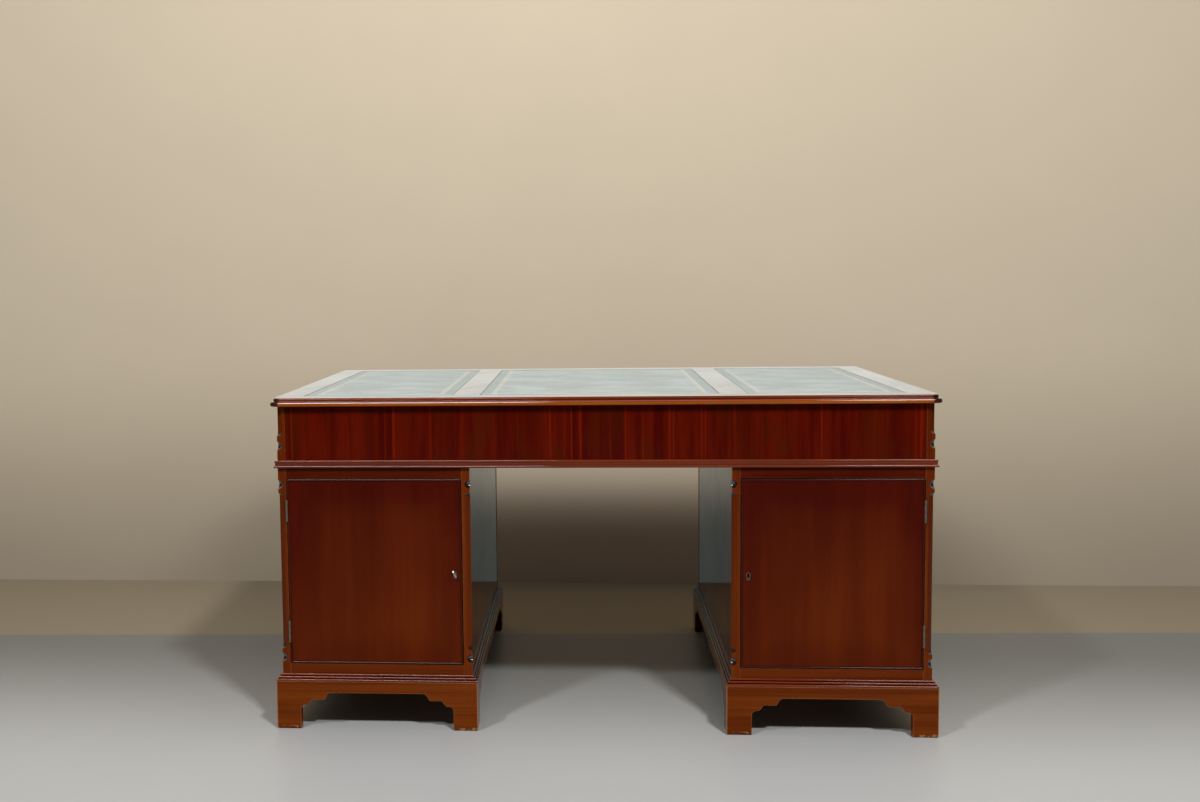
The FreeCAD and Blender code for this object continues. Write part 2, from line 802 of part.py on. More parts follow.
def lock(side, name):
    """A cupboard lock with its escutcheon, and the bolt that slides in it."""
    x = f"{side} * {KEY_X}"
    z = "lock_height"
    front = f"({DOOR_BACK} - lock_case_deep)"
    chamber = rod("y", "key_chamber", (x, f"{front} + lock_wall", z), "lock_case_deep - 2 * lock_wall")
    way = bolt_block(side, f"{DOOR_FREE_X} - {OVERRUN}", f"{DOOR_FREE_X} + bolt_length + bolt_room",
                     "bolt_play")
    entry = keyhole(x, z, f"{front} - {OVERRUN}", f"lock_wall + {2 * OVERRUN}", "key_hole")
    case = cut(lock_block(side), [chamber, way, entry])
    plate = keyplate(x, z, DOOR_FACE, "escutcheon_depth")
    hole = keyhole(x, z, f"{DOOR_FACE} - {OVERRUN}", f"escutcheon_depth + {2 * OVERRUN}", "key_hole")
    sub_part(f"{name}_door_lock", [case, cut(plate, [hole])])
    sub_part(f"{name}_lock_bolt",
             [bolt_block(side, DOOR_FREE_X, f"{DOOR_FREE_X} + bolt_length", 0)])


def door_key():
    """The key in the left lock: stem, bit and a flat bow, turned a little from upright."""
    tip = f"{DOOR_BACK} - lock_wall - key_tip_play"
    shoulder = f"{DOOR_FACE} - key_neck"
    stem = rod("y", "key_radius", (0, shoulder, 0), f"({tip}) - ({shoulder})")
    bit_end = f"{tip} - key_tip_play"
    bit = box(both_ways("key_bit_thickness / 2"), (f"{bit_end} - key_bit_length", bit_end),
              ("-key_bit", 0))
    eye = "key_bow_length / 2"
    middle = f"{shoulder} - {eye}"
    reach = f"(key_bow_width / 2 - {eye})"
    half = "key_bow_thickness / 2"
    bow = [rod("x", eye, (f"-{half}", middle, f"{end} * {reach}"), "key_bow_thickness")
           for end in (1, -1)]
    bow.append(box(both_ways(half), (f"{middle} - {eye}", shoulder), both_ways(reach)))
    ring_hole = rod("x", "key_eye", (f"-{half} - {OVERRUN}", middle, 0),
                    f"key_bow_thickness + {2 * OVERRUN}")
    key = cut(fuse([stem, bit, *bow]), [ring_hole])
    key.Placement = Placement(Vector(), Rotation(Vector(0, 1, 0), KEY_TILT))
    sub_part("left_door_key", [seat(key, (f"-{KEY_X}", 0, "lock_height"))])


# ---------------------------------------------------------------- doors

def door(side, name):
    """An inset door with housings for its fittings and a raised bead round its face."""
    span = (DOOR_FREE_X, DOOR_HINGE_X)
    low, high = "door_low + door_gap", "door_high - door_gap"
    panel = box(sided(side, *span), (DOOR_FACE, DOOR_BACK), (low, high))
    x, z = f"{side} * {KEY_X}", "lock_height"
    tools = [leaf_plate(side, level, f"{DOOR_HINGE_X} - hinge_leaf") for level in HINGE_LEVELS]
    tools.append(lock_block(side))
    tools.append(keyhole(x, z, DOOR_FACE, "door_thickness - lock_case_deep", "key_hole + 1"))
    tools.append(keyplate(x, z, DOOR_FACE, "escutcheon_depth"))
    proud = (f"{DOOR_FACE} - bead_out", DOOR_FACE)
    rows = [(low, f"{low} + bead_width"), (f"{high} - bead_width", high)]
    beads = [box(sided(side, *span), proud, row) for row in rows]
    free_edge = (DOOR_FREE_X, f"{DOOR_FREE_X} + bead_width")
    inner_rise = (f"{low} + bead_width", f"{high} - bead_width")
    beads.append(box(sided(side, *free_edge), proud, inner_rise))
    hinge_edge = sided(side, f"{DOOR_HINGE_X} - bead_width", DOOR_HINGE_X)
    stops = [inner_rise[0]]
    for level in reversed(HINGE_LEVELS):
        bottom, top = hinge_rise(level)
        stops += [f"{bottom} - hinge_bead_gap", f"{top} + hinge_bead_gap"]
    stops.append(inner_rise[1])
    beads += [box(hinge_edge, proud, rise) for rise in zip(stops[::2], stops[1::2])]
    sub_part(f"{name}_door", [cut(panel, tools), *beads])


# ---------------------------------------------------------------- drawers

def drawer_box(name, centre, width, low, height, length):
    """Front with its raised bead, two sides, back and bottom, as the joiner cuts them."""
    half = f"(({width}) / 2 - drawer_gap)"
    base, top = f"{low} + drawer_rest", f"{low} + {height} - drawer_gap"
    front_back = f"({CASE_Y} - drawer_front)"
    rear = f"({CASE_Y} - {length})"

    def across(reach_low, reach_high):
        return f"{centre} + {reach_low}", f"{centre} + {reach_high}"

    pieces = [box(across(f"-{half}", half), (front_back, CASE_Y), (base, top))]
    proud = (CASE_Y, f"{CASE_Y} + bead_out")
    for rise in ((base, f"{base} + bead_width"), (f"{top} - bead_width", top)):
        pieces.append(box(across(f"-{half}", half), proud, rise))
    upright = (f"{base} + bead_width", f"{top} - bead_width")
    pieces.append(box(across(f"-{half}", f"bead_width - {half}"), proud, upright))
    pieces.append(box(across(f"{half} - bead_width", half), proud, upright))
    wall = f"({half} - drawer_side)"
    shoulder = f"{top} - drawer_headroom"
    pieces.append(box(across(f"-{half}", f"-{wall}"), (rear, front_back), (base, shoulder)))
    pieces.append(box(across(wall, half), (rear, front_back), (base, shoulder)))
    floor = f"{base} + drawer_lift"
    inside = across(f"-{wall}", wall)
    pieces.append(box(inside, (rear, front_back), (floor, f"{floor} + drawer_bottom")))
    pieces.append(box(inside, (rear, f"{rear} + drawer_side"), (f"{floor} + drawer_bottom", shoulder)))
    sub_part(name, pieces)


def handle_post(x, z):
    """A rosette and a stem bored for the bail, with its nut inside the drawer."""
    stem_top = "handle_out + stem_end"
    y = CASE_Y
    rosette = rod("y", "rosette_radius", (x, y, z), "rosette_thickness")
    stem = rod("y", "stem_radius", (x, y, z), stem_top)
    bore = rod("x", "bail_pin + pin_play", (f"{x} - rosette_radius", f"{y} + handle_out", z),
               "2 * rosette_radius")
    nut = rod("y", "nut_radius", (x, f"{y} - drawer_front - nut_thickness", z), "nut_thickness")
    return [cut(fuse([rosette, stem]), [bore]), nut]


def elbow(x, z, side):
    """The quarter bend at a lower corner of a bail."""
    bend = DOC.addObject("Part::Torus", "Elbow")
    bind(bend, "Radius1", "bail_corner")
    bind(bend, "Radius2", "bail_radius")
    bend.Angle3 = 90
    down = Vector(0, 0, -1)
    if side == RIGHT:
        turn = Rotation(Vector(1, 0, 0), down, Vector(0, 1, 0), "XYZ")
    else:
        turn = Rotation(down, Vector(-1, 0, 0), Vector(0, 1, 0), "XYZ")
    bend.Placement = Placement(Vector(), turn)
    return seat(bend, (f"{x} + {side} * (bail_half - bail_corner)", f"{CASE_Y} + handle_out",
                       f"{z} - bail_drop + bail_corner"))


def bail(x, z):
    """A drop handle: pins into the stems, two legs, rounded corners and a swelled grip."""
    y = f"{CASE_Y} + handle_out"
    reach = "(bail_half - bail_corner)"
    inner = "(handle_spread - bail_pin_hold)"
    pieces = []
    for side in (LEFT, RIGHT):
        tip = f"{x} + {inner}" if side == RIGHT else f"{x} - bail_half"
        pieces.append(rod("x", "bail_pin", (tip, y, z), f"bail_half - {inner}"))
        knob = DOC.addObject("Part::Sphere", "Knob")
        bind(knob, "Radius", "bail_radius")
        pieces.append(seat(knob, (f"{x} + {side} * bail_half", y, z)))
        leg_low = f"{z} - bail_drop + bail_corner"
        pieces.append(rod("z", "bail_radius", (f"{x} + {side} * bail_half", y, leg_low),
                          "bail_drop - bail_corner"))
        pieces.append(elbow(x, z, side))
        swell = DOC.addObject("Part::Cone", "Swell")
        bind(swell, "Radius1", "bail_grip")
        bind(swell, "Radius2", "bail_radius")
        bind(swell, "Height", reach)
        swell.Placement = Placement(Vector(), Rotation(Vector(0, 1, 0), 90 * side))
        pieces.append(seat(swell, (x, y, f"{z} - bail_drop")))
    return fuse(pieces)


def drawer(name, centre, width, low, height, length, offsets):
    """A drawer, its brass fittings and one bail for each offset from its middle."""
    drawer_box(name, centre, width, low, height, length)
    z = f"{low} + {height} / 2 + handle_rise"
    fittings = []
    for offset in offsets:
        for side in (LEFT, RIGHT):
            fittings += handle_post(f"{centre} + {offset} + {side} * handle_spread", z)
    lock_z = f"{low} + {height} - keyhole_drop"
    plate = keyplate(centre, lock_z, CASE_Y, "keyplate_thickness")
    hole = keyhole(centre, lock_z, f"{CASE_Y} - {OVERRUN}", f"keyplate_thickness + {2 * OVERRUN}",
                   "key_hole")
    fittings.append(cut(plate, [hole]))
    sub_part(f"{name}_fittings", fittings)
    for offset, suffix in offsets.items():
        sub_part(f"{name}_{suffix}", [bail(f"{centre} + {offset}", z)])


def drawers():
    """Three drawers in the frieze and three of growing depth in each pedestal."""
    width = f"({OPENING_OUT} - {OPENING_IN})"
    middle = f"({OPENING_OUT} + {OPENING_IN}) / 2"
    one = {"0": "bail"}
    two = {"-handle_offset": "left_bail", "handle_offset": "right_bail"}
    frieze_height = f"({TOP_LOW} - drawer_rail_height - {FRIEZE_FLOOR})"
    lower_rail, upper_rail = rail_levels()
    for side, name in ((LEFT, "left"), (0, "centre"), (RIGHT, "right")):
        opening = width if side else f"(2 * {KNEE_X})"
        offsets = one if side else two
        drawer(f"{name}_frieze_drawer", f"{side} * {middle}", opening, FRIEZE_FLOOR,
               frieze_height, "frieze_drawer_length", offsets)
    for side, name in ((LEFT, "left"), (RIGHT, "right")):
        levels = (
            ("top", upper_rail, "top_drawer"),
            ("middle", lower_rail, "middle_drawer"),
            ("bottom", "door_low", "bottom_drawer"),
        )
        for place, low, height in levels:
            drawer(f"{name}_{place}_drawer", f"{side} * {middle}", width, low, height,
                   "pedestal_drawer_length", one)


# ---------------------------------------------------------------- the whole desk

def check_model():
    """Stop if any object failed or any sub-part has no sound solid."""
    failed = [thing.Label for thing in DOC.Objects if {"Invalid", "Error"} & set(thing.State)]
    hollow = [part.Label for part in SUB_PARTS if part.Shape.isNull() or not part.Shape.isValid()]
    if failed or hollow:
        raise RuntimeError(f"failed objects: {failed}; unsound sub-parts: {hollow}")


def main():
    """Build the desk and write each sub-part to its own STEP file."""
    fill_sheet()
    top_board()
    leathers()
    frieze_posts()
    frieze_panels()
    frieze_underboard()
    waist_moulding()
    for side, name in ((LEFT, "left"), (RIGHT, "right")):
        pedestal_posts(side, name)
        side_panels(side, name)
        carcass_boards(side, name)
        plinth(side, name)
        door(side, name)
        lock(side, name)
    drawer_frames()
    cupboard_shelves()
    hinges()
    door_key()
    drawers()
    DOC.recompute()
    check_model()
    os.makedirs("parts", exist_ok=True)
    for part in SUB_PARTS:
        part.Shape.exportStep(f"parts/{part.Label}.step")
        print(part.Label, len(part.Shape.Solids), round(part.Shape.Volume))
    print(len(SUB_PARTS), "sub-parts")


main()
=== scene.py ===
"""The partners desk: every visible piece of it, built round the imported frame.

Sizes are in millimetres while a piece is shaped, and a finished piece is in metres. X runs along
the desk, the cupboard side faces -Y, the drawer side faces +Y and Z is up from the floor.
"""

import logging
import math
from collections.abc import Callable, Iterable, Mapping, Sequence
from dataclasses import dataclass, replace
from enum import Enum

import bmesh
import bpy
from bmesh.types import BMEdge, BMesh, BMVert
from bpy.types import ID, Material, Mesh, Node, NodeSocket, NodeTree, Object
from mathutils import Euler, Matrix, Vector


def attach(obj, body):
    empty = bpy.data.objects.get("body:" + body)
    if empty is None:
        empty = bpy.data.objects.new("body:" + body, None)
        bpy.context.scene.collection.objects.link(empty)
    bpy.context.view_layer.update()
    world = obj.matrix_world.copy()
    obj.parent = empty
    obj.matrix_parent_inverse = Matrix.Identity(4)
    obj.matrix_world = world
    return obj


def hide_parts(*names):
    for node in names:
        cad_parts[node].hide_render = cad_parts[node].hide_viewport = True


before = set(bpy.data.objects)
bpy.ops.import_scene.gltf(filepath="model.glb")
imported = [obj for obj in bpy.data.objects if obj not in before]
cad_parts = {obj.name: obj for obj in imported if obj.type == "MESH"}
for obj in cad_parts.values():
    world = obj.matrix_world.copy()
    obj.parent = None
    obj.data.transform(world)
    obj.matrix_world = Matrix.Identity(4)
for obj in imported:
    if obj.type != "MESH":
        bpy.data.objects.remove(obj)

LOG = logging.getLogger("desk")
MM = 0.001
LEFT, RIGHT = -1, 1
FRONT, BACK = -1, 1
SHARP = math.radians(34)
BOARD_TONES = 97
UNLIT_FROM_BEHIND = (
    "moulded_top", "centre_writing_leather", "side_writing_leathers", "waist_beads",
    "left_front_posts", "right_front_posts", "left_reeded_moulding", "right_reeded_moulding",
)
Point = tuple[float, float, float]
Span = tuple[float, float]
Colour = tuple[float, float, float]
Value = float | NodeSocket
Sockets = Mapping[str, NodeSocket]


class Grain(Enum):
    """The way the grain runs in a board: the axes along it, across it and through it."""

    X = (0, 1, 2)
    Y = (1, 0, 2)
    Z = (2, 0, 1)


class Side(Enum):
    """The two pedestals."""

    LEFT = -1
    RIGHT = 1

    @property
    def word(self) -> str:
        """The side's name as the nodes spell it."""
        return self.name.lower()

    def span(self, low: float, high: float) -> Span:
        """A span given for the right side, kept there or mirrored to the left."""
        return (low, high) if self is Side.RIGHT else (-high, -low)

    def board(self, x: Span, y: Span, z: Span, arris: float = 0.5) -> BMesh:
        """A board whose X span is given for the right side."""
        return spans(self.span(*x), y, z, arris)


# ---- shaping


def extent(shape: BMesh) -> tuple[Vector, Vector]:
    """The lowest and the highest corner of a shape."""
    low = Vector(min(vert.co[axis] for vert in shape.verts) for axis in range(3))
    high = Vector(max(vert.co[axis] for vert in shape.verts) for axis in range(3))
    return low, high


def ease(shape: BMesh, edges: Iterable[BMEdge], offset: float, segments: int = 2) -> None:
    """Round edges of a shape, as far as an offset, each with a number of facets."""
    bmesh.ops.bevel(
        shape, geom=list(edges), offset=offset, offset_type="OFFSET", segments=segments,
        profile=0.5, affect="EDGES", clamp_overlap=True, material=-1,
    )


def move(shape: BMesh, by: Point) -> None:
    """Shift a whole shape."""
    bmesh.ops.translate(shape, vec=by, verts=shape.verts)


def outward(shape: BMesh) -> BMesh:
    """Turn every face of a shape to look outward, and return the shape."""
    bmesh.ops.recalc_face_normals(shape, faces=shape.faces[:])
    return shape


def everything(shape: BMesh) -> list:
    """All the corners, edges and faces of a shape."""
    return shape.verts[:] + shape.edges[:] + shape.faces[:]


def turn(shape: BMesh, degrees: float, axis: str, centre: Point = (0, 0, 0)) -> None:
    """Turn a whole shape about an axis through a centre."""
    spin = Matrix.Rotation(math.radians(degrees), 3, axis)
    bmesh.ops.rotate(shape, cent=centre, matrix=spin, verts=shape.verts)


def block(low: Point, high: Point, arris: float = 0.5, segments: int = 2) -> BMesh:
    """A board between two corners, its edges eased by an arris, or left sharp for none."""
    shape = bmesh.new()
    bmesh.ops.create_cube(shape, size=1.0)
    bmesh.ops.scale(shape, vec=Vector(high) - Vector(low), verts=shape.verts)
    move(shape, (Vector(low) + Vector(high)) / 2)
    if arris:
        ease(shape, shape.edges[:], arris, segments)
    return shape


def spans(x: Span, y: Span, z: Span, arris: float = 0.5) -> BMesh:
    """A board between a low and a high place along each axis."""
    return block((x[0], y[0], z[0]), (x[1], y[1], z[1]), arris)


@dataclass(frozen=True)
class Corner:
    """A corner of a moulding's section: how far out and up it is, and the round worked on it."""

    out: float
    up: float
    radius: float = 0.0
    steps: int = 5

    @property
    def round(self) -> tuple[float, int]:
        """The round's radius and its facets."""
        return self.radius, self.steps


def raise_face(shape: BMesh, corners: Sequence[BMVert], by: Point) -> None:
    """Close a face over some corners and raise it into a solid."""
    face = shape.faces.new(corners)
    grown = bmesh.ops.extrude_face_region(shape, geom=[face])["geom"]
    far = [item for item in grown if isinstance(item, BMVert)]
    bmesh.ops.translate(shape, vec=by, verts=far)
    outward(shape)


def prism(corners: Sequence[Corner], half: float) -> BMesh:
    """A length along X with one section, its rounds worked on the long edges.

    Args:
        corners: the section, whose out is towards -Y and whose up is along Z.
        half: half of the length.

    Returns:
        The length, from x = -half to x = half.
    """
    shape = bmesh.new()
    verts = [shape.verts.new((-half, -corner.out, corner.up)) for corner in corners]
    raise_face(shape, verts, (2 * half, 0, 0))
    for size in sorted({corner.round for corner in corners if corner.radius}):
        spots = [(-corner.out, corner.up) for corner in corners if corner.round == size]
        ease(shape, long_edges(shape, spots), *size)
    return shape


def along(edge: BMEdge, axis: int, least: float = 1.0) -> bool:
    """Whether an edge runs along an axis for at least some length."""
    return abs(edge.verts[0].co[axis] - edge.verts[1].co[axis]) > least


def long_edges(shape: BMesh, spots: Sequence[Span]) -> list[BMEdge]:
    """The edges along X that pass through any of some Y, Z spots."""
    return [edge for edge in shape.edges if along(edge, 0, 0.1)
            and any(math.dist(edge.verts[0].co.yz, spot) < 0.02 for spot in spots)]


def mitre(shape: BMesh, half: float, datum: float = 0.0) -> None:
    """Slope both ends of a length along X, which keeps its size where Y is the datum."""
    for vert in shape.verts:
        if abs(vert.co.x) > half - 0.01:
            away = 1 if vert.co.x > 0 else -1
            vert.co.x += away * (datum - vert.co.y)


def swept(corners: Sequence[Corner], radius: float) -> BMesh:
    """A section swept a quarter round the Z axis at a radius, from -Y to +X."""
    shape = prism([replace(corner, out=corner.out + radius) for corner in corners], 1.0)
    shape.normal_update()
    end = max(shape.faces, key=lambda face: face.normal.x * face.calc_area())
    rest = [face for face in shape.faces if face is not end]
    bmesh.ops.delete(shape, geom=rest, context="FACES")
    move(shape, (-1.0, 0, 0))
    bmesh.ops.spin(
        shape, geom=everything(shape), cent=(0, 0, 0), axis=(0, 0, 1), angle=math.pi / 2, steps=10,
        use_merge=False, use_duplicate=False,
    )
    bmesh.ops.remove_doubles(shape, verts=shape.verts[:], dist=0.002)
    return outward(shape)


def moulding(corners: Sequence[Corner], radius: float = 0.0) -> Callable[[float], BMesh]:
    """How to make a length of a moulding: mitred, or short of a swept corner's radius."""
    def length(run: float) -> BMesh:
        """One length along X for a side of some run."""
        shape = prism(corners, run / 2 - radius)
        if not radius:
            mitre(shape, run / 2)
        return shape

    return length


def surround(make: Callable[[float], BMesh], centre_x: float, width: float,
             depth: float) -> list[tuple[BMesh, Grain]]:
    """Four lengths round a rectangle: front, right, back, left.

    Args:
        make: makes a length along X for a side of some run, the side at y = 0.
        centre_x: the X place of the rectangle's middle.
        width: the rectangle's size along X.
        depth: its size along Y.

    Returns:
        Each length in place, with the way its grain runs.
    """
    lengths = []
    for quarter in range(4):
        run, reach = (width, depth) if quarter % 2 == 0 else (depth, width)
        shape = make(run)
        move(shape, (0, -reach / 2, 0))
        turn(shape, 90 * quarter, "Z")
        move(shape, (centre_x, 0, 0))
        lengths.append((shape, Grain.Y if quarter % 2 else Grain.X))
    return lengths


def lathe(profile: Sequence[Span], at: Point, facing: str = "Y", steps: int = 24) -> BMesh:
    """A turned shape.

    Args:
        profile: radius and height pairs, from one end on the axis to the other.
        at: where height 0 on the axis stands.
        facing: the axis that the heights run along: X, -X, Y or Z.
        steps: how many facets it has round it.

    Returns:
        The turned shape.
    """
    shape = bmesh.new()
    verts = [shape.verts.new((radius, 0, height)) for radius, height in profile]
    edges = [shape.edges.new(pair) for pair in zip(verts, verts[1:])]
    bmesh.ops.spin(
        shape, geom=verts + edges, cent=(0, 0, 0), axis=(0, 0, 1), angle=math.tau,
        steps=steps, use_merge=True, use_duplicate=False,
    )
    bmesh.ops.remove_doubles(shape, verts=shape.verts[:], dist=0.0005)
    outward(shape)
    tilts = {"X": (90, "Y"), "-X": (-90, "Y"), "Y": (-90, "X"), "Z": (0, "Z")}
    turn(shape, *tilts[facing])
    move(shape, at)
    return shape


def rod(radius: float, start: Point, length: float, facing: str = "Y", steps: int = 24) -> BMesh:
    """A plain round bar with a small chamfer at each end."""
    soft = min(0.3, radius / 3, length / 3)
    profile = [(0, 0), (radius - soft, 0), (radius, soft), (radius, length - soft),
               (radius - soft, length), (0, length)]
    return lathe(profile, start, facing, steps)


class Bar:
    """A round bar drawn out along a path, one stretch after another."""

    def __init__(self, start: Point, radius: float) -> None:
        """Start with a closed end that looks along X."""
        self.shape = bmesh.new()
        bmesh.ops.create_circle(self.shape, cap_ends=True, radius=radius, segments=12)
        turn(self.shape, 90, "Y")
        move(self.shape, start)
        self.ring = self.shape.edges[:]

    def _grow(self) -> list[BMVert]:
        """Extrude the open ring and return its new corners."""
        grown = bmesh.ops.extrude_edge_only(self.shape, edges=self.ring)["geom"]
        verts = [item for item in grown if isinstance(item, BMVert)]
        self.ring = [item for item in grown if isinstance(item, BMEdge)
                     and all(vert in verts for vert in item.verts)]
        return verts

    def straight(self, by: Point, scale: float = 1.0) -> None:
        """Carry the bar straight on, and make it thicker or thinner on the way."""
        verts = self._grow()
        bmesh.ops.translate(self.shape, vec=by, verts=verts)
        middle = sum((vert.co for vert in verts), Vector()) / len(verts)
        back = Matrix.Translation(-middle)
        bmesh.ops.scale(self.shape, vec=(scale,) * 3, space=back, verts=verts)

    def bend(self, centre: Point, degrees: float, steps: int) -> None:
        """Carry the bar round a bend from X toward Z about a centre."""
        step = Matrix.Rotation(math.radians(degrees / steps), 3, Vector((0, -1, 0)))
        for _ in range(steps):
            bmesh.ops.rotate(self.shape, cent=centre, matrix=step, verts=self._grow())

    def close(self) -> BMesh:
        """Close the far end and return the bar."""
        bmesh.ops.edgeloop_fill(self.shape, edges=self.ring)
        return outward(self.shape)


def as_mesh(shape: BMesh, name: str) -> Mesh:
    """A shape as a mesh. The shape is used up."""
    mesh = bpy.data.meshes.new(name)
    shape.to_mesh(mesh)
    shape.free()
    return mesh


def as_object(name: str, content: ID) -> Object:
    """A new object in the scene."""
    thing = bpy.data.objects.new(name, content)
    bpy.context.scene.collection.objects.link(thing)
    return thing


def worked(base: BMesh, tools: Sequence[BMesh], operation: str = "DIFFERENCE") -> BMesh:
    """A shape with other shapes cut out of it or added to it.

    Args:
        base: the shape that is worked on.
        tools: what is taken away or added, one after another.
        operation: DIFFERENCE or UNION.

    Returns:
        The result.
    """
    for tool in tools:
        body, cutter = (as_object("worked", as_mesh(part, "worked")) for part in (base, tool))
        boolean = body.modifiers.new("Cut", "BOOLEAN")
        boolean.operation = operation
        boolean.solver = "EXACT"
        boolean.object = cutter
        bpy.context.view_layer.update()
        graph = bpy.context.evaluated_depsgraph_get()
        done = bpy.data.meshes.new_from_object(body.evaluated_get(graph))
        base = bmesh.new()
        base.from_mesh(done)
        for mesh in (body.data, cutter.data, done):
            bpy.data.meshes.remove(mesh)
    return base


# ---- finished pieces


class Piece:
    """One visible piece: its shapes gathered in one mesh, then made an object."""

    boards = 0

    def __init__(self, name: str) -> None:
        """Start an empty piece."""
        self.name = name
        self.mesh = bmesh.new()
        self.finishes: list[Material] = []

    def add(self, shape: BMesh, finish: Material, grain: Grain = Grain.X,
            *others: Material) -> None:
        """Add one shape, with the way its grain runs written to its corners.

        Args:
            shape: the shape, which is used up.
            finish: the material of its faces.
            grain: the way the grain runs in it.
            others: the materials of the faces that carry the numbers 1, 2 and on.
        """
        choices = (finish, *others)
        for choice in choices:
            if choice not in self.finishes:
                self.finishes.append(choice)
        for face in shape.faces:
            face.material_index = self.finishes.index(choices[face.material_index])
        low, high = extent(shape)
        middle, half = (low + high) / 2, (high - low) / 2
        placed = shape.verts.layers.float_vector.new("grain")
        reach = shape.verts.layers.float_vector.new("reach")
        board = shape.verts.layers.float.new("board")
        for vert in shape.verts:
            away = vert.co - middle
            vert[placed] = Vector(away[axis] for axis in grain.value) * MM
            vert[reach] = Vector(half[axis] for axis in grain.value) * MM
            vert[board] = Piece.boards % BOARD_TONES
        Piece.boards += 1
        mesh = as_mesh(shape, self.name)
        self.mesh.from_mesh(mesh)
        bpy.data.meshes.remove(mesh)

    def make(self, body: str, slot: str, *nodes: str) -> None:
        """Make the object, let it ride on a body and stand for its nodes.

        Args:
            body: the body it moves with.
            slot: the record's material slot, which is not used.
            nodes: the nodes it stands for.
        """
        bmesh.ops.scale(self.mesh, vec=(MM, MM, MM), verts=self.mesh.verts)
        for face in self.mesh.faces:
            face.smooth = True
        for edge in self.mesh.edges:
            edge.smooth = len(edge.link_faces) == 2 and edge.calc_face_angle() < SHARP
        mesh = as_mesh(self.mesh, self.name)
        for finish in self.finishes:
            mesh.materials.append(finish)
        thing = as_object(self.name, mesh)
        weighted = thing.modifiers.new("Flat faces", "WEIGHTED_NORMAL")
        weighted.keep_sharp = True
        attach(thing, body)
        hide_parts(*nodes)
        LOG.info("%s: %d faces on %s", self.name, len(mesh.polygons), body)


# ---- finishes


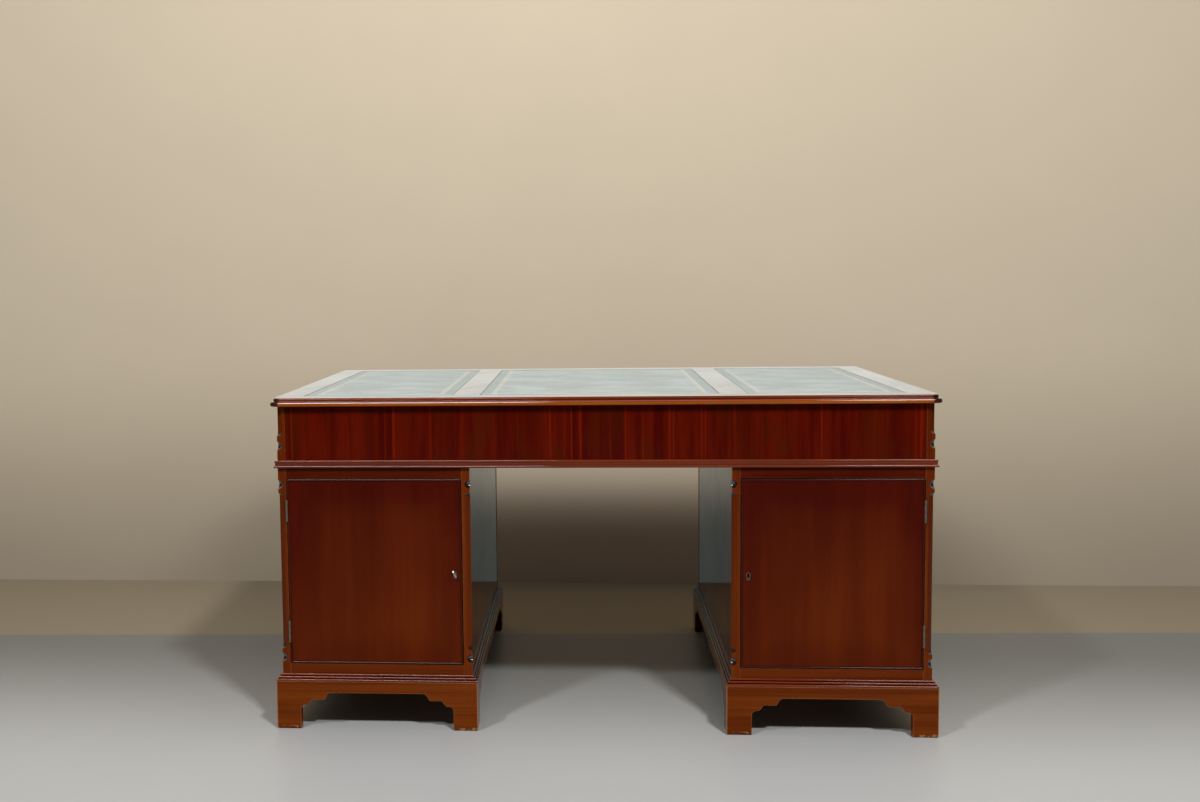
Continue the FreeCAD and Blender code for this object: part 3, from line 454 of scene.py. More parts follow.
class Graph:
    """Adds nodes to a node tree and joins them up."""

    def __init__(self, tree: NodeTree) -> None:
        """Work on one tree."""
        self.tree = tree

    def add(self, kind: str, inputs: dict | None = None, **settings: object) -> Node:
        """Add a node.

        Args:
            kind: the node's type, without its ShaderNode prefix.
            inputs: sockets to join or values to set, by the input's name or number.
            settings: the node's own properties.

        Returns:
            The node.
        """
        node = self.tree.nodes.new(f"ShaderNode{kind}")
        for name, setting in settings.items():
            setattr(node, name, setting)
        for key, value in (inputs or {}).items():
            if isinstance(value, NodeSocket):
                self.tree.links.new(value, node.inputs[key])
            else:
                node.inputs[key].default_value = value
        return node

    def math(self, operation: str, *values: Value) -> NodeSocket:
        """One arithmetic step."""
        return self.add("Math", dict(enumerate(values)), operation=operation).outputs[0]

    def times(self, first: Value, second: Value) -> NodeSocket:
        """One value times another."""
        return self.math("MULTIPLY", first, second)

    def plus(self, first: Value, second: Value) -> NodeSocket:
        """One value and another."""
        return self.math("ADD", first, second)

    def less(self, first: Value, second: Value) -> NodeSocket:
        """One value less another."""
        return self.math("SUBTRACT", first, second)

    def vector(self, operation: str, *values: Point | NodeSocket) -> NodeSocket:
        """One step on vectors."""
        return self.add("VectorMath", dict(enumerate(values)), operation=operation).outputs[0]

    def split(self, vector: NodeSocket) -> tuple[NodeSocket, NodeSocket, NodeSocket]:
        """The three parts of a vector."""
        return tuple(self.add("SeparateXYZ", {0: vector}).outputs)

    def noise(self, vector: NodeSocket, stretch: float | Point | NodeSocket, detail: float = 2.0,
              roughness: float = 0.5, distortion: float = 0.0) -> NodeSocket:
        """Noise that changes some number of times in a metre, along all axes or each."""
        paces = (stretch,) * 3 if isinstance(stretch, float) else stretch
        place = self.vector("MULTIPLY", vector, paces)
        inputs = {"Vector": place, "Scale": 1.0, "Detail": detail, "Roughness": roughness,
                  "Distortion": distortion}
        return self.add("TexNoise", inputs).outputs[0]

    def remap(self, value: Value, low: float, high: float, to_low: float = 0.0,
              to_high: float = 1.0, kind: str = "LINEAR") -> NodeSocket:
        """A value stretched from one span to another and held inside it."""
        inputs = {0: value, 1: low, 2: high, 3: to_low, 4: to_high}
        return self.add("MapRange", inputs, clamp=True, interpolation_type=kind).outputs[0]

    def ramp(self, value: Value, *limits: float) -> NodeSocket:
        """A value stretched from one span to another, and let in and out softly."""
        to_low, to_high = limits[2:] or (0.0, 1.0)
        return self.remap(value, *limits[:2], to_low, to_high, "SMOOTHSTEP")

    def scaled(self, vector: Point | NodeSocket, factor: NodeSocket) -> NodeSocket:
        """A vector made longer or shorter by a factor."""
        inputs = {0: vector, "Scale": factor}
        return self.add("VectorMath", inputs, operation="SCALE").outputs[0]

    def mark(self, name: str) -> NodeSocket:
        """A vector that each board carries at its corners."""
        return self.add("Attribute", attribute_name=name).outputs["Vector"]

    def spot(self) -> NodeSocket:
        """The place on the desk."""
        return self.add("TexCoord").outputs["Object"]

    def blend(self, factor: Value, first: Colour | NodeSocket, second: Colour | NodeSocket,
              kind: str = "MIX") -> NodeSocket:
        """Two colours mixed by a factor."""
        inputs = {0: factor}
        for number, colour in ((6, first), (7, second)):
            inputs[number] = colour if isinstance(colour, NodeSocket) else (*colour, 1.0)
        return self.add("Mix", inputs, data_type="RGBA", blend_type=kind).outputs[2]

    def from_edge(self, place: NodeSocket, reach: NodeSocket) -> NodeSocket:
        """How far a place in a board is from the nearest of its long edges."""
        inside = self.vector("SUBTRACT", reach, self.vector("ABSOLUTE", place))
        first, second, third = self.split(inside)
        nearer = self.math("MINIMUM", first, second)
        further = self.math("MAXIMUM", first, second)
        return self.math("MAXIMUM", nearer, self.math("MINIMUM", further, third))

    def place(self, group: NodeTree, **inputs: object) -> Node:
        """Place a node group, with its inputs joined or set."""
        titled = {key.title(): value for key, value in inputs.items()}
        return self.add("Group", titled, node_tree=group)

    def surface(self, inputs: dict) -> None:
        """Make the shader and show it."""
        shader = self.add("BsdfPrincipled", inputs)
        self.add("OutputMaterial", {0: shader.outputs[0]})


def dimmed(colour: Colour, share: float) -> Colour:
    """A colour with a share of its brightness left."""
    return tuple(part * share for part in colour)


def new_material(name: str) -> tuple[Material, Graph]:
    """An empty material, and the graph that fills it."""
    material = bpy.data.materials.new(name)
    material.use_nodes = True
    material.node_tree.nodes.clear()
    return material, Graph(material.node_tree)


def wood_figure(graph: Graph, source: Sockets) -> Sockets:
    """The figure of mahogany: ribbon stripes, finer streaks, fibres and open pores."""
    apart = graph.scaled((1.37, 0.61, 0.83), source["Board"])
    place = graph.vector("ADD", source["Place"], apart)
    bend = graph.noise(place, (1.7, 5.0, 5.0), 2.0)
    lean = graph.times(graph.less(bend, 0.5), source["Sway"])
    shift = graph.add("CombineXYZ", {1: lean, 2: lean}).outputs[0]
    place = graph.vector("ADD", place, shift)
    pace = {0: source["Run"], 1: source["Ribbon"], 2: source["Ribbon"]}
    ribbon = graph.noise(place, graph.add("CombineXYZ", pace).outputs[0], 2.0, 0.6)
    return {
        "Ribbon": graph.ramp(ribbon, 0.34, 0.66),
        "Streak": graph.remap(graph.noise(place, (0.9, 150.0, 150.0), 3.0, 0.6), 0.3, 0.7),
        "Thread": graph.ramp(graph.noise(place, (0.7, 105.0, 105.0), 1.0, 0.4), 0.62, 0.72),
        "Tone": graph.ramp(graph.noise(place, (6.0, 15.0, 15.0), 3.0, 0.55), 0.45, 0.66),
        "Fibre": graph.remap(graph.noise(place, (11.0, 760.0, 760.0), 2.0, 0.6), 0.25, 0.75),
        "Pores": graph.ramp(graph.noise(place, (70.0, 1300.0, 1300.0), 1.0, 0.5), 0.64, 0.72),
    }


def edge_wear(graph: Graph, source: Sockets) -> Sockets:
    """Wear along the long edges of a board, uneven and broken here and there."""
    distance = graph.from_edge(source["Place"], source["Reach"])
    share = graph.math("DIVIDE", distance, source["Width"])
    close = graph.less(1.0, share)
    place = graph.vector("ADD", source["Place"], graph.scaled((0.71, 1.13, 0.37), source["Board"]))
    uneven = graph.noise(place, 26.0, 4.0, 0.65)
    fine = graph.noise(place, 240.0, 2.0, 0.6)
    rough = graph.plus(graph.remap(uneven, 0.3, 0.7, -0.55, 0.4),
                       graph.remap(fine, 0.3, 0.7, -0.15, 0.15))
    wear = graph.plus(close, rough)
    return {"Wear": graph.ramp(wear, 0.35, 0.95)}


def hollows_and_arrises(graph: Graph, source: Sockets) -> Sockets:
    """Dark polish and painted shade in the quirks, and arrises paled for wear and a painted
    highlight.
    """
    open_, solid = (
        graph.add("AmbientOcclusion", {"Distance": source[reach]}, samples=6, only_local=True,
                  inside=reach == "Arris").outputs["AO"] for reach in ("Hollow", "Arris"))
    return {"Gathered": graph.remap(open_, 0.45, 0.95, 1.0, 0.0),
            "Rubbed": graph.remap(solid, 0.50, 0.92, 1.0, 0.0)}


def deepening(graph: Graph, source: Sockets) -> Sockets:
    """Painted shade toward the top of the case, and a darker rim round a panel."""
    height = graph.split(source["Spot"])[2]
    risen = graph.remap(height, 0.16, 0.60, -0.05, 0.85)
    distance = graph.from_edge(source["Place"], source["Reach"])
    share = graph.math("DIVIDE", distance, source["Rim"])
    rim = graph.ramp(share, 0.0, 1.0, 0.45, 0.0)
    cloud = graph.noise(source["Spot"], (6.0, 6.0, 4.0), 3.0, 0.5)
    uneven = graph.remap(cloud, 0.3, 0.7, -0.15, 0.15)
    total = graph.plus(graph.plus(risen, rim), uneven)
    return {"Deep": graph.remap(total, 0.0, 1.0)}


def handling(graph: Graph, source: Sockets) -> Sockets:
    """The faint cloudiness that hands, cloths and time leave in a polish."""
    broad = graph.noise(source["Place"], 5.0, 4.0, 0.6, 0.6)
    fine = graph.noise(source["Place"], 60.0, 3.0, 0.65)
    mixed = graph.math("MULTIPLY_ADD", fine, 0.35, graph.times(broad, 0.65))
    return {"Haze": graph.ramp(mixed, 0.35, 0.65)}


def metal_age(graph: Graph, source: Sockets) -> Sockets:
    """Patina and fine scratches on a metal fitting."""
    cloud = graph.noise(source["Place"], 130.0, 5.0, 0.68, 0.4)
    scratch = graph.noise(source["Place"], (90.0, 1900.0, 700.0), 3.0, 0.7)
    return {"Patina": graph.ramp(cloud, 0.36, 0.66), "Scratch": graph.remap(scratch, 0.3, 0.7)}


def shared(fill: Callable, inputs: str) -> NodeTree:
    """Build a shader node group, named for the function that fills it.

    Args:
        fill: adds its nodes between the sockets of its inputs and the outputs it gives.
        inputs: the names of its inputs, of which Place, Reach and Spot are vectors.

    Returns:
        The group.
    """
    tree = bpy.data.node_groups.new(fill.__name__.replace("_", " ").capitalize(), "ShaderNodeTree")
    for name in inputs.split():
        kind = "Vector" if name in ("Place", "Reach", "Spot") else "Float"
        tree.interface.new_socket(name, in_out="INPUT", socket_type=f"NodeSocket{kind}")
    given = fill(Graph(tree), tree.nodes.new("NodeGroupInput").outputs)
    for name in given:
        tree.interface.new_socket(name, in_out="OUTPUT", socket_type="NodeSocketFloat")
    sink = tree.nodes.new("NodeGroupOutput")
    for name, value in given.items():
        tree.links.new(value, sink.inputs[name])
    return tree


class Effects:
    """The shader node groups that the finishes share, each built once."""

    def __init__(self) -> None:
        """Build the groups."""
        self.figure = shared(wood_figure, "Place Board Ribbon Run Sway")
        self.wear = shared(edge_wear, "Place Reach Board Width")
        self.hollows = shared(hollows_and_arrises, "Hollow Arris")
        self.deepening = shared(deepening, "Spot Place Reach Rim")
        self.handling = shared(handling, "Place")
        self.metal = shared(metal_age, "Place")


@dataclass(frozen=True)
class WoodFinish:
    """A wood under its polish: its colours, its figure and its gloss."""

    name: str
    dark: Colour
    light: Colour
    worn: Colour
    tint: Colour = (0.06, 0.012, 0.001)
    tint_share: float = 0.0
    ribbon: float = 22.0
    run: float = 1.5
    sway: float = 0.008
    ribbon_share: float = 0.5
    streak_share: float = 0.5
    thread_share: float = 0.0
    fibre_depth: float = 0.10
    pore_depth: float = 0.35
    wear_width: float = 0.0020
    wear_share: float = 0.6
    scuff_height: float = 0.0
    chipped: Colour = (0.50, 0.30, 0.12)
    roughness: float = 0.42
    specular: float = 0.0
    coat: float = 1.0
    coat_roughness: float = 0.09
    coat_ior: float = 1.16
    relief: float = 0.10
    # The tint multiplied in as painted shade toward the top of the case, and round a panel's rim.
    deep: Colour = (0.52, 0.20, 0.11)
    deep_share: float = 0.0
    rim: float = 0.0001
    # Hollows darkened by ambient occlusion: dark polish gathered in the quirks, and painted shade.
    gathered: float = 0.0
    hollow: float = 0.005
    # Arrises paled toward the worn colour: wear, and a painted highlight along each arris.
    rubbed: float = 0.0
    rub_width: float = 0.0016

    def _figured(self, graph: Graph, figure: Sockets) -> NodeSocket:
        """The colour of the wood: ribbons, streaks, bright threads, fibres and pores."""
        streaks = graph.times(figure["Streak"], self.streak_share)
        mixed = graph.math("MULTIPLY_ADD", figure["Ribbon"], self.ribbon_share, streaks)
        colour = graph.blend(mixed, self.dark, self.light)
        browner = graph.times(figure["Tone"], self.tint_share)
        colour = graph.blend(browner, colour, self.tint)
        threads = graph.times(figure["Thread"], self.thread_share)
        colour = graph.blend(threads, colour, self.light)
        fibre = graph.remap(figure["Fibre"], 0.0, 1.0, 1.0 - self.fibre_depth,
                            1.0 + self.fibre_depth)
        pores = graph.times(figure["Pores"], self.pore_depth)
        return graph.blend(pores, graph.scaled(colour, fibre), dimmed(self.dark, 0.35))

    def _aged(self, graph: Graph, effects: Effects, colour: NodeSocket, place: NodeSocket,
              reach: NodeSocket) -> NodeSocket:
        """The colour with painted shade up the case and in hollows, paled arrises and chips at the
        floor.
        """
        # Painted shade toward the top of the case, and darker round a panel's rim.
        if self.deep_share:
            deep = graph.place(effects.deepening, spot=graph.spot(), place=place, reach=reach,
                               rim=self.rim).outputs["Deep"]
            share = graph.times(deep, self.deep_share)
            colour = graph.blend(share, colour, self.deep, "MULTIPLY")
        if self.gathered or self.rubbed:
            felt = graph.place(effects.hollows, hollow=self.hollow, arris=self.rub_width).outputs
            # Arrises paled: partly wear, partly a painted highlight along the arris.
            colour = graph.blend(graph.times(felt["Rubbed"], self.rubbed), colour, self.worn)
            # Painted shade in the hollows, together with the dark polish gathered there.
            darkened = graph.times(felt["Gathered"], self.gathered)
            colour = graph.blend(darkened, colour, dimmed(self.dark, 0.12))
        if self.scuff_height:
            low = graph.remap(graph.split(graph.spot())[2], 0.0, self.scuff_height, 1.0, 0.0)
            chips = graph.ramp(graph.noise(place, 85.0, 3.0, 0.6), 0.52, 0.60)
            colour = graph.blend(graph.times(low, chips), colour, self.chipped)
        return colour

    def make(self, effects: Effects) -> Material:
        """Build the material from the shared effects."""
        material, graph = new_material(self.name)
        place, reach = graph.mark("grain"), graph.mark("reach")
        board = graph.add("Attribute", attribute_name="board").outputs["Fac"]
        figure = graph.place(effects.figure, place=place, board=board, ribbon=self.ribbon,
                             run=self.run, sway=self.sway).outputs
        wear = graph.place(effects.wear, place=place, reach=reach, board=board,
                           width=self.wear_width).outputs["Wear"]
        hands = graph.place(effects.handling, place=place).outputs
        rubbed = graph.times(wear, self.wear_share)
        colour = graph.blend(rubbed, self._figured(graph, figure), self.worn)
        colour = self._aged(graph, effects, colour, place, reach)
        gloss = graph.remap(hands["Haze"], 0.0, 1.0, self.roughness - 0.06, self.roughness + 0.08)
        film = graph.less(self.coat, graph.times(rubbed, 0.5 * self.coat))
        film = graph.less(film, graph.times(hands["Haze"], 0.12 * self.coat))
        height = graph.math("MULTIPLY_ADD", figure["Fibre"], 0.25,
                            graph.times(figure["Pores"], -1.0))
        bump = graph.add("Bump", {"Strength": self.relief, "Distance": 0.0004, "Height": height})
        graph.surface({
            "Base Color": colour, "Roughness": gloss, "Normal": bump.outputs[0],
            "Specular IOR Level": self.specular, "Coat Weight": film,
            "Coat Roughness": self.coat_roughness, "Coat IOR": self.coat_ior,
        })
        return material


@dataclass(frozen=True)
class LeatherFinish:
    """Pale dyed leather with a tooled border of two fine lines and a row of eggs between them."""

    name: str = "Tooled leather"
    pale: Colour = (0.42, 0.465, 0.465)
    deep: Colour = (0.285, 0.33, 0.32)
    margin: Colour = (0.24, 0.285, 0.275)
    gilt: Colour = (0.62, 0.53, 0.39)
    edge: Colour = (0.05, 0.045, 0.04)
    border: float = 0.0265
    band: float = 0.0068
    line: float = 0.0009
    pitch: float = 0.0062

    def _within(self, graph: Graph, value: NodeSocket, low: float, high: float) -> NodeSocket:
        """1 where a value lies between two limits, else 0."""
        over = graph.math("GREATER_THAN", value, low)
        under = graph.math("LESS_THAN", value, high)
        return graph.times(over, under)

    def _tooling(self, graph: Graph, along: NodeSocket, inset: NodeSocket) -> NodeSocket:
        """1 where gold was laid, read along the border and in from the leather's edge."""
        near, far = self.border, self.border + self.band
        outer = self._within(graph, inset, near - 2.2 * self.line, near - self.line)
        inner = self._within(graph, inset, far + self.line, far + 2.2 * self.line)
        lines = graph.math("MAXIMUM", outer, inner)
        turns = graph.math("DIVIDE", along, self.pitch)
        phase = graph.less(graph.math("FRACT", turns), 0.5)
        middle = (near + far) / 2
        rise = graph.math("DIVIDE", graph.less(inset, middle), self.band / 2)
        width = graph.times(phase, 2.25)
        round_ = graph.math("SQRT", graph.plus(graph.times(width, width), graph.times(rise, rise)))
        egg = self._within(graph, round_, 0.62, 1.0)
        seed = graph.math("LESS_THAN", round_, 0.3)
        return graph.math("MAXIMUM", lines, graph.math("MAXIMUM", egg, seed))

    def make(self) -> Material:
        """Build the material."""
        material, graph = new_material(self.name)
        place, reach = graph.mark("grain"), graph.mark("reach")
        across, up, _ = graph.split(place)
        inside = graph.vector("SUBTRACT", reach, graph.vector("ABSOLUTE", place))
        inset_x, inset_y, _ = graph.split(inside)
        inset = graph.math("MINIMUM", inset_x, inset_y)
        beside = graph.math("LESS_THAN", inset_x, inset_y)
        along = graph.add("Mix", {0: beside, 2: across, 3: up}, data_type="FLOAT").outputs[0]
        gilt = self._tooling(graph, along, inset)
        rubbed = graph.noise(place, 160.0, 3.0, 0.7)
        gilt = graph.times(gilt, graph.remap(rubbed, 0.32, 0.55, 0.35, 1.0))
        cloud = graph.noise(place, (7.0, 11.0, 7.0), 3.0, 0.55, 0.5)
        small = graph.noise(place, 70.0, 3.0, 0.6)
        mottle = graph.math("MULTIPLY_ADD", small, 0.3, graph.times(cloud, 0.7))
        dyed = graph.ramp(mottle, 0.38, 0.62)
        colour = graph.blend(dyed, self.deep, self.pale)
        outside = graph.math("LESS_THAN", inset, self.border - 2.2 * self.line)
        colour = graph.blend(graph.times(outside, 0.45), colour, self.margin)
        skived = graph.ramp(inset, 0.0004, 0.0022, 0.9, 0.0)
        colour = graph.blend(skived, colour, self.edge)
        colour = graph.blend(graph.times(gilt, 0.85), colour, self.gilt)
        cells = graph.add("TexVoronoi", {"Vector": place, "Scale": 720.0, "Randomness": 1.0},
                          feature="DISTANCE_TO_EDGE").outputs[0]
        pebble = graph.ramp(cells, 0.0, 0.35)
        colour = graph.blend(graph.remap(pebble, 0.0, 1.0, 0.10, 0.0), colour, self.edge)
        ripple = graph.noise(place, (9.0, 24.0, 9.0), 2.0, 0.5)
        sunk = graph.times(gilt, -0.8)
        height = graph.plus(graph.times(pebble, 0.35), sunk)
        fine = graph.add("Bump", {"Strength": 0.35, "Distance": 0.0003, "Height": height})
        bump = graph.add("Bump", {"Strength": 0.30, "Distance": 0.0016, "Height": ripple,
                                  "Normal": fine.outputs[0]})
        gloss = graph.less(graph.remap(mottle, 0.35, 0.65, 0.42, 0.54),
                           graph.times(gilt, 0.12))
        graph.surface({"Base Color": colour, "Roughness": gloss, "IOR": 1.4,
                       "Normal": bump.outputs[0]})
        return material


@dataclass(frozen=True)
class MetalFinish:
    """A metal that has dulled with age."""

    name: str
    bright: Colour
    dull: Colour
    roughness: float = 0.3
    dull_share: float = 0.75

    def make(self, effects: Effects) -> Material:
        """Build the material from the shared effects."""
        material, graph = new_material(self.name)
        age = graph.place(effects.metal, place=graph.mark("grain")).outputs
        patina = graph.times(age["Patina"], self.dull_share)
        colour = graph.blend(patina, self.bright, self.dull)
        gloss = graph.remap(age["Patina"], 0.0, 1.0, self.roughness, self.roughness + 0.25)
        gloss = graph.math("MULTIPLY_ADD", age["Scratch"], 0.08, gloss)
        bump = graph.add("Bump", {"Strength": 0.12, "Distance": 0.0001, "Height": age["Scratch"]})
        graph.surface({"Base Color": colour, "Roughness": gloss, "Metallic": 1.0,
                       "Normal": bump.outputs[0]})
        return material


class Finishes:
    """Every finish on the desk."""

    def __init__(self) -> None:
        """Build the shared effects and the materials."""
        effects = Effects()
        solid = WoodFinish(
            "Polished mahogany", (0.088, 0.012, 0.0006), (0.175, 0.032, 0.0022),
            (0.26, 0.09, 0.03), deep_share=0.45, gathered=0.8, rubbed=0.3,
        )
        self.solid = solid.make(effects)
        # A darker copy of the polished mahogany for the rails round the doors: painted shade, as
        # under the waist moulding.
        self.rail = replace(solid, name="Rail mahogany, painted shade", dark=(0.07, 0.0085, 0.0004),
                            light=(0.14, 0.023, 0.0013), deep_share=1.0).make(effects)
        plinth = WoodFinish(
            "Plinth mahogany", (0.088, 0.0125, 0.0007), (0.185, 0.038, 0.003),
            (0.42, 0.19, 0.085), wear_share=0.25, rubbed=0.55, scuff_height=0.01,
        )
        self.plinth = plinth.make(effects)
        # A darker, less glossy copy of the plinth for the side beside the kneehole: painted shade.
        self.knee_plinth = replace(plinth, name="Kneehole plinth, painted shade", dark=(0.04, 0.0065, 0.0006),
                                   light=(0.085, 0.019, 0.002), coat_ior=1.25).make(effects)
        # Near black for the scooped notches and the chamfer's ends: painted shade in these
        # recesses.
        self.carved = WoodFinish(
            "Carving, painted shade", (0.008, 0.0012, 0.0004), (0.03, 0.0045, 0.0008),
            (0.05, 0.014, 0.004), wear_share=0.1, coat_ior=2.2, coat_roughness=0.16,
        ).make(effects)
        # Matte near black for the bead's outer flank and the lock's chamber: painted shade in the
        # gaps.
        self.stain = WoodFinish(
            "Edge stain", (0.004, 0.001, 0.0004), (0.012, 0.002, 0.0006),
            (0.03, 0.008, 0.003), wear_share=0.1, coat=0.0, roughness=0.6, specular=0.1,
        ).make(effects)
        bead = WoodFinish(
            "Dark bead polish", (0.024, 0.0018, 0.0003), (0.06, 0.007, 0.0008),
            (0.34, 0.15, 0.1), wear_share=0.03, coat_ior=1.42, coat_roughness=0.045,
            gathered=0.85, rubbed=0.16, rub_width=0.0008,
        )
        self.bead = bead.make(effects)
        self.upright_bead = replace(bead, name="Upright bead polish", coat_ior=1.22).make(effects)
        moulding = WoodFinish(
            "Moulding polish", (0.085, 0.008, 0.0004), (0.2, 0.027, 0.0012),
            (0.42, 0.17, 0.075), wear_share=0.15, coat_ior=1.5, coat_roughness=0.045,
            gathered=0.95, rubbed=0.14, rub_width=0.001,
        )
        self.moulding = moulding.make(effects)
        # A darker, less glossy copy of the moulding for the side beside the kneehole: painted
        # shade.
        self.shaded_knee_moulding = replace(moulding, name="Kneehole moulding, painted shade",
                                     dark=(0.02, 0.0028, 0.0004), light=(0.05, 0.0085, 0.0008),
                                     rubbed=0.05, coat_ior=1.3).make(effects)
        # A brighter copy of the moulding polish for the nose's lower face: painted light. The crest
        # band has a glossier coat.
        self.nose = replace(moulding, name="Top edge, painted light", dark=(0.175, 0.031, 0.001),
                            light=(0.33, 0.078, 0.003), coat_ior=1.3).make(effects)
        self.crest = replace(moulding, name="Top crest polish", dark=(0.11, 0.013, 0.0006),
                             light=(0.23, 0.038, 0.002), coat_ior=1.85).make(effects)
        # A much darker copy for the top's rounded corners, whose faces turn from the light: painted
        # shade.
        self.corner = replace(moulding, name="Top corner, painted shade", dark=(0.016, 0.003, 0.0006),
                              light=(0.055, 0.009, 0.0012), rubbed=0.08).make(effects)
        self.border = WoodFinish(
            "Border veneer", (0.045, 0.006, 0.0008), (0.1, 0.018, 0.0022),
            (0.26, 0.1, 0.04), wear_share=0.35, coat_ior=1.28,
        ).make(effects)
        self.frieze = WoodFinish(
            "Ribbon veneer", (0.044, 0.001, 0.0001), (0.145, 0.008, 0.0003),
            (0.12, 0.02, 0.004), tint=(0.05, 0.006, 0.0003), tint_share=0.6, ribbon=30.0,
            run=2.2, sway=0.002, ribbon_share=0.36, streak_share=0.16, thread_share=0.75,
            wear_share=0.15,
        ).make(effects)
        door = WoodFinish(
            "Door veneer", (0.085, 0.01, 0.0004), (0.14, 0.0215, 0.001),
            (0.16, 0.035, 0.008), ribbon=16.0, run=1.2, sway=0.006, ribbon_share=0.45,
            streak_share=0.22, thread_share=0.08, wear_share=0.15, fibre_depth=0.06,
            deep_share=1.0, rim=0.1, gathered=0.9, hollow=0.004,
        )
        self.door = door.make(effects)
        # A darker, less glossy copy of the veneer for the panel beside the kneehole: painted shade.
        self.shaded_knee_veneer = replace(door, name="Kneehole veneer, painted shade", dark=(0.04, 0.0052, 0.0003),
                                   light=(0.068, 0.0115, 0.0007), coat_ior=1.24).make(effects)
        self.inside = WoodFinish(
            "Plain mahogany", (0.115, 0.04, 0.017), (0.235, 0.098, 0.044),
            (0.33, 0.16, 0.08), ribbon=12.0, run=1.2, coat=0.12, roughness=0.6, specular=0.2,
            wear_share=0.25, relief=0.25, pore_depth=0.7,
        ).make(effects)
        self.lining = WoodFinish(
            "Drawer lining", (0.26, 0.145, 0.066), (0.44, 0.285, 0.15),
            (0.36, 0.24, 0.13), ribbon=10.0, run=1.0, coat=0.06, roughness=0.64,
            specular=0.2, wear_share=0.2, relief=0.25, pore_depth=0.55,
        ).make(effects)
        self.leather = LeatherFinish().make()
        self.brass = MetalFinish(
            "Aged brass", (0.62, 0.46, 0.24), (0.24, 0.165, 0.075), roughness=0.28,
        ).make(effects)
        self.hinge = MetalFinish(
            "Hinge brass", (0.28, 0.25, 0.18), (0.1, 0.085, 0.055), roughness=0.34,
        ).make(effects)
        self.steel = MetalFinish(
            "Bright steel", (0.68, 0.67, 0.64), (0.34, 0.32, 0.29), roughness=0.22,
        ).make(effects)


# ---- the top


@dataclass
class Top:
    """The top: a moulded edge, crossed borders of veneer and three leather fields."""

    finishes: Finishes
    width: float = 1524
    depth: float = 914
    low: float = 761
    high: float = 780
    nose: float = 5.3
    nose_foot: float = 3.0
    nose_top: float = 772
    nose_line: float = 767.6
    crest_line: float = 770.6
    corner_round: float = 10
    edge_width: float = 14
    hollow_inset: float = 7.5
    flat_inset: float = 9.8
    step: float = 1.5
    field_depth: float = 792
    centre_half: float = 275.5
    side_inner: float = 339.5
    side_outer: float = 691.5
    leather_low: float = 778.5
    leather_high: float = 779.7
    joint: float = 0.3

    def _edge(self) -> Sequence[Corner]:
        """The section of the moulded edge, out from the veneered field."""
        wide = self.edge_width
        hollow, flat = wide - self.hollow_inset, wide - self.flat_inset
        ledge = self.high - self.step
        return (
            Corner(0, self.low), Corner(wide, self.low, self.nose_foot, 5),
            Corner(wide, self.nose_top, self.nose, 7), Corner(hollow - 0.6, self.nose_top, 1.4, 4),
            Corner(hollow - 0.6, self.nose_top + 2.6), Corner(hollow, self.nose_top + 2.8, 0.5, 2),
            Corner(hollow, ledge, 1.5, 4), Corner(flat, ledge, 0.3, 2),
            Corner(flat, self.high, 0.45, 3), Corner(0, self.high),
        )

    def _border(self, reach: Span, half: Span) -> BMesh:
        """A border along X, from its distance and half length at the leather and outside."""
        rise = (self.leather_low, self.high)
        shape = spans((-half[0], half[0]), (-reach[1], -reach[0]), rise, 0)
        for vert in shape.verts:
            if vert.co.y < -sum(reach) / 2:
                vert.co.x = math.copysign(half[1], vert.co.x)
        ease(shape, [edge for edge in shape.edges
                     if all(vert.co.z > self.high - 0.1 for vert in edge.verts)], 0.18)
        return shape

    def board(self) -> None:
        """Make the board: core, moulded edge, borders and the two bars between the leathers."""
        piece = Piece("moulded_top")
        wood = self.finishes.border
        inner_x, inner_y = self.width / 2 - self.edge_width, self.depth / 2 - self.edge_width
        core = spans((-inner_x, inner_x), (-inner_y, inner_y), (self.low, self.leather_low), 0)
        piece.add(core, self.finishes.inside)
        round_ = self.corner_round
        lengths = surround(moulding(self._edge(), round_), 0, 2 * inner_x, 2 * inner_y)
        for shape, grain in lengths:
            for face in shape.faces:
                level = face.calc_center_median().z
                # Below the nose's line the brighter top edge finish, painted light; above it the
                # moulding and the crest band.
                if self.nose_line < level < self.high - 0.2:
                    face.material_index = 2 if level < self.crest_line else 1
            piece.add(shape, self.finishes.nose, grain, self.finishes.moulding,
                      self.finishes.crest)
        low_top = [replace(corner, up=min(corner.up, self.high - 0.05)) for corner in self._edge()]
        for quarter, (x, y) in enumerate(((1, -1), (1, 1), (-1, 1), (-1, -1))):
            corner = swept(low_top, round_)
            turn(corner, 90 * quarter, "Z")
            move(corner, (x * (inner_x - round_), y * (inner_y - round_), 0))
            # The rounded corners take the darker corner finish: painted shade.
            piece.add(corner, self.finishes.corner)
        half_y = self.field_depth / 2
        halves = ((half_y, inner_y), (self.side_outer, inner_x))
        for quarter in range(4):
            shape = self._border(halves[quarter % 2], halves[1 - quarter % 2])
            turn(shape, 90 * quarter, "Z")
            piece.add(shape, wood, Grain.Y if quarter % 2 else Grain.X)
        for side in Side:
            bar = spans(side.span(self.centre_half, self.side_inner), (-half_y, half_y),
                        (self.leather_low, self.high), 0.15)
            piece.add(bar, wood, Grain.Y)
        piece.make("carcass", "mahogany", "top_board")

    def _leather(self, span: Span) -> BMesh:
        """One writing surface with softly turned edges."""
        half_y = self.field_depth / 2 - self.joint
        return block((span[0] + self.joint, -half_y, self.leather_low),
                     (span[1] - self.joint, half_y, self.leather_high), 0.55, 3)

    def leathers(self) -> None:
        """Make the three writing surfaces."""
        centre = Piece("centre_writing_leather")
        centre.add(self._leather((-self.centre_half, self.centre_half)), self.finishes.leather)
        centre.make("carcass", "leather", "centre_leather")
        sides = Piece("side_writing_leathers")
        for side in Side:
            shape = self._leather(side.span(self.side_inner, self.side_outer))
            sides.add(shape, self.finishes.leather)
        sides.make("carcass", "leather", "side_leathers")


# ---- carved posts


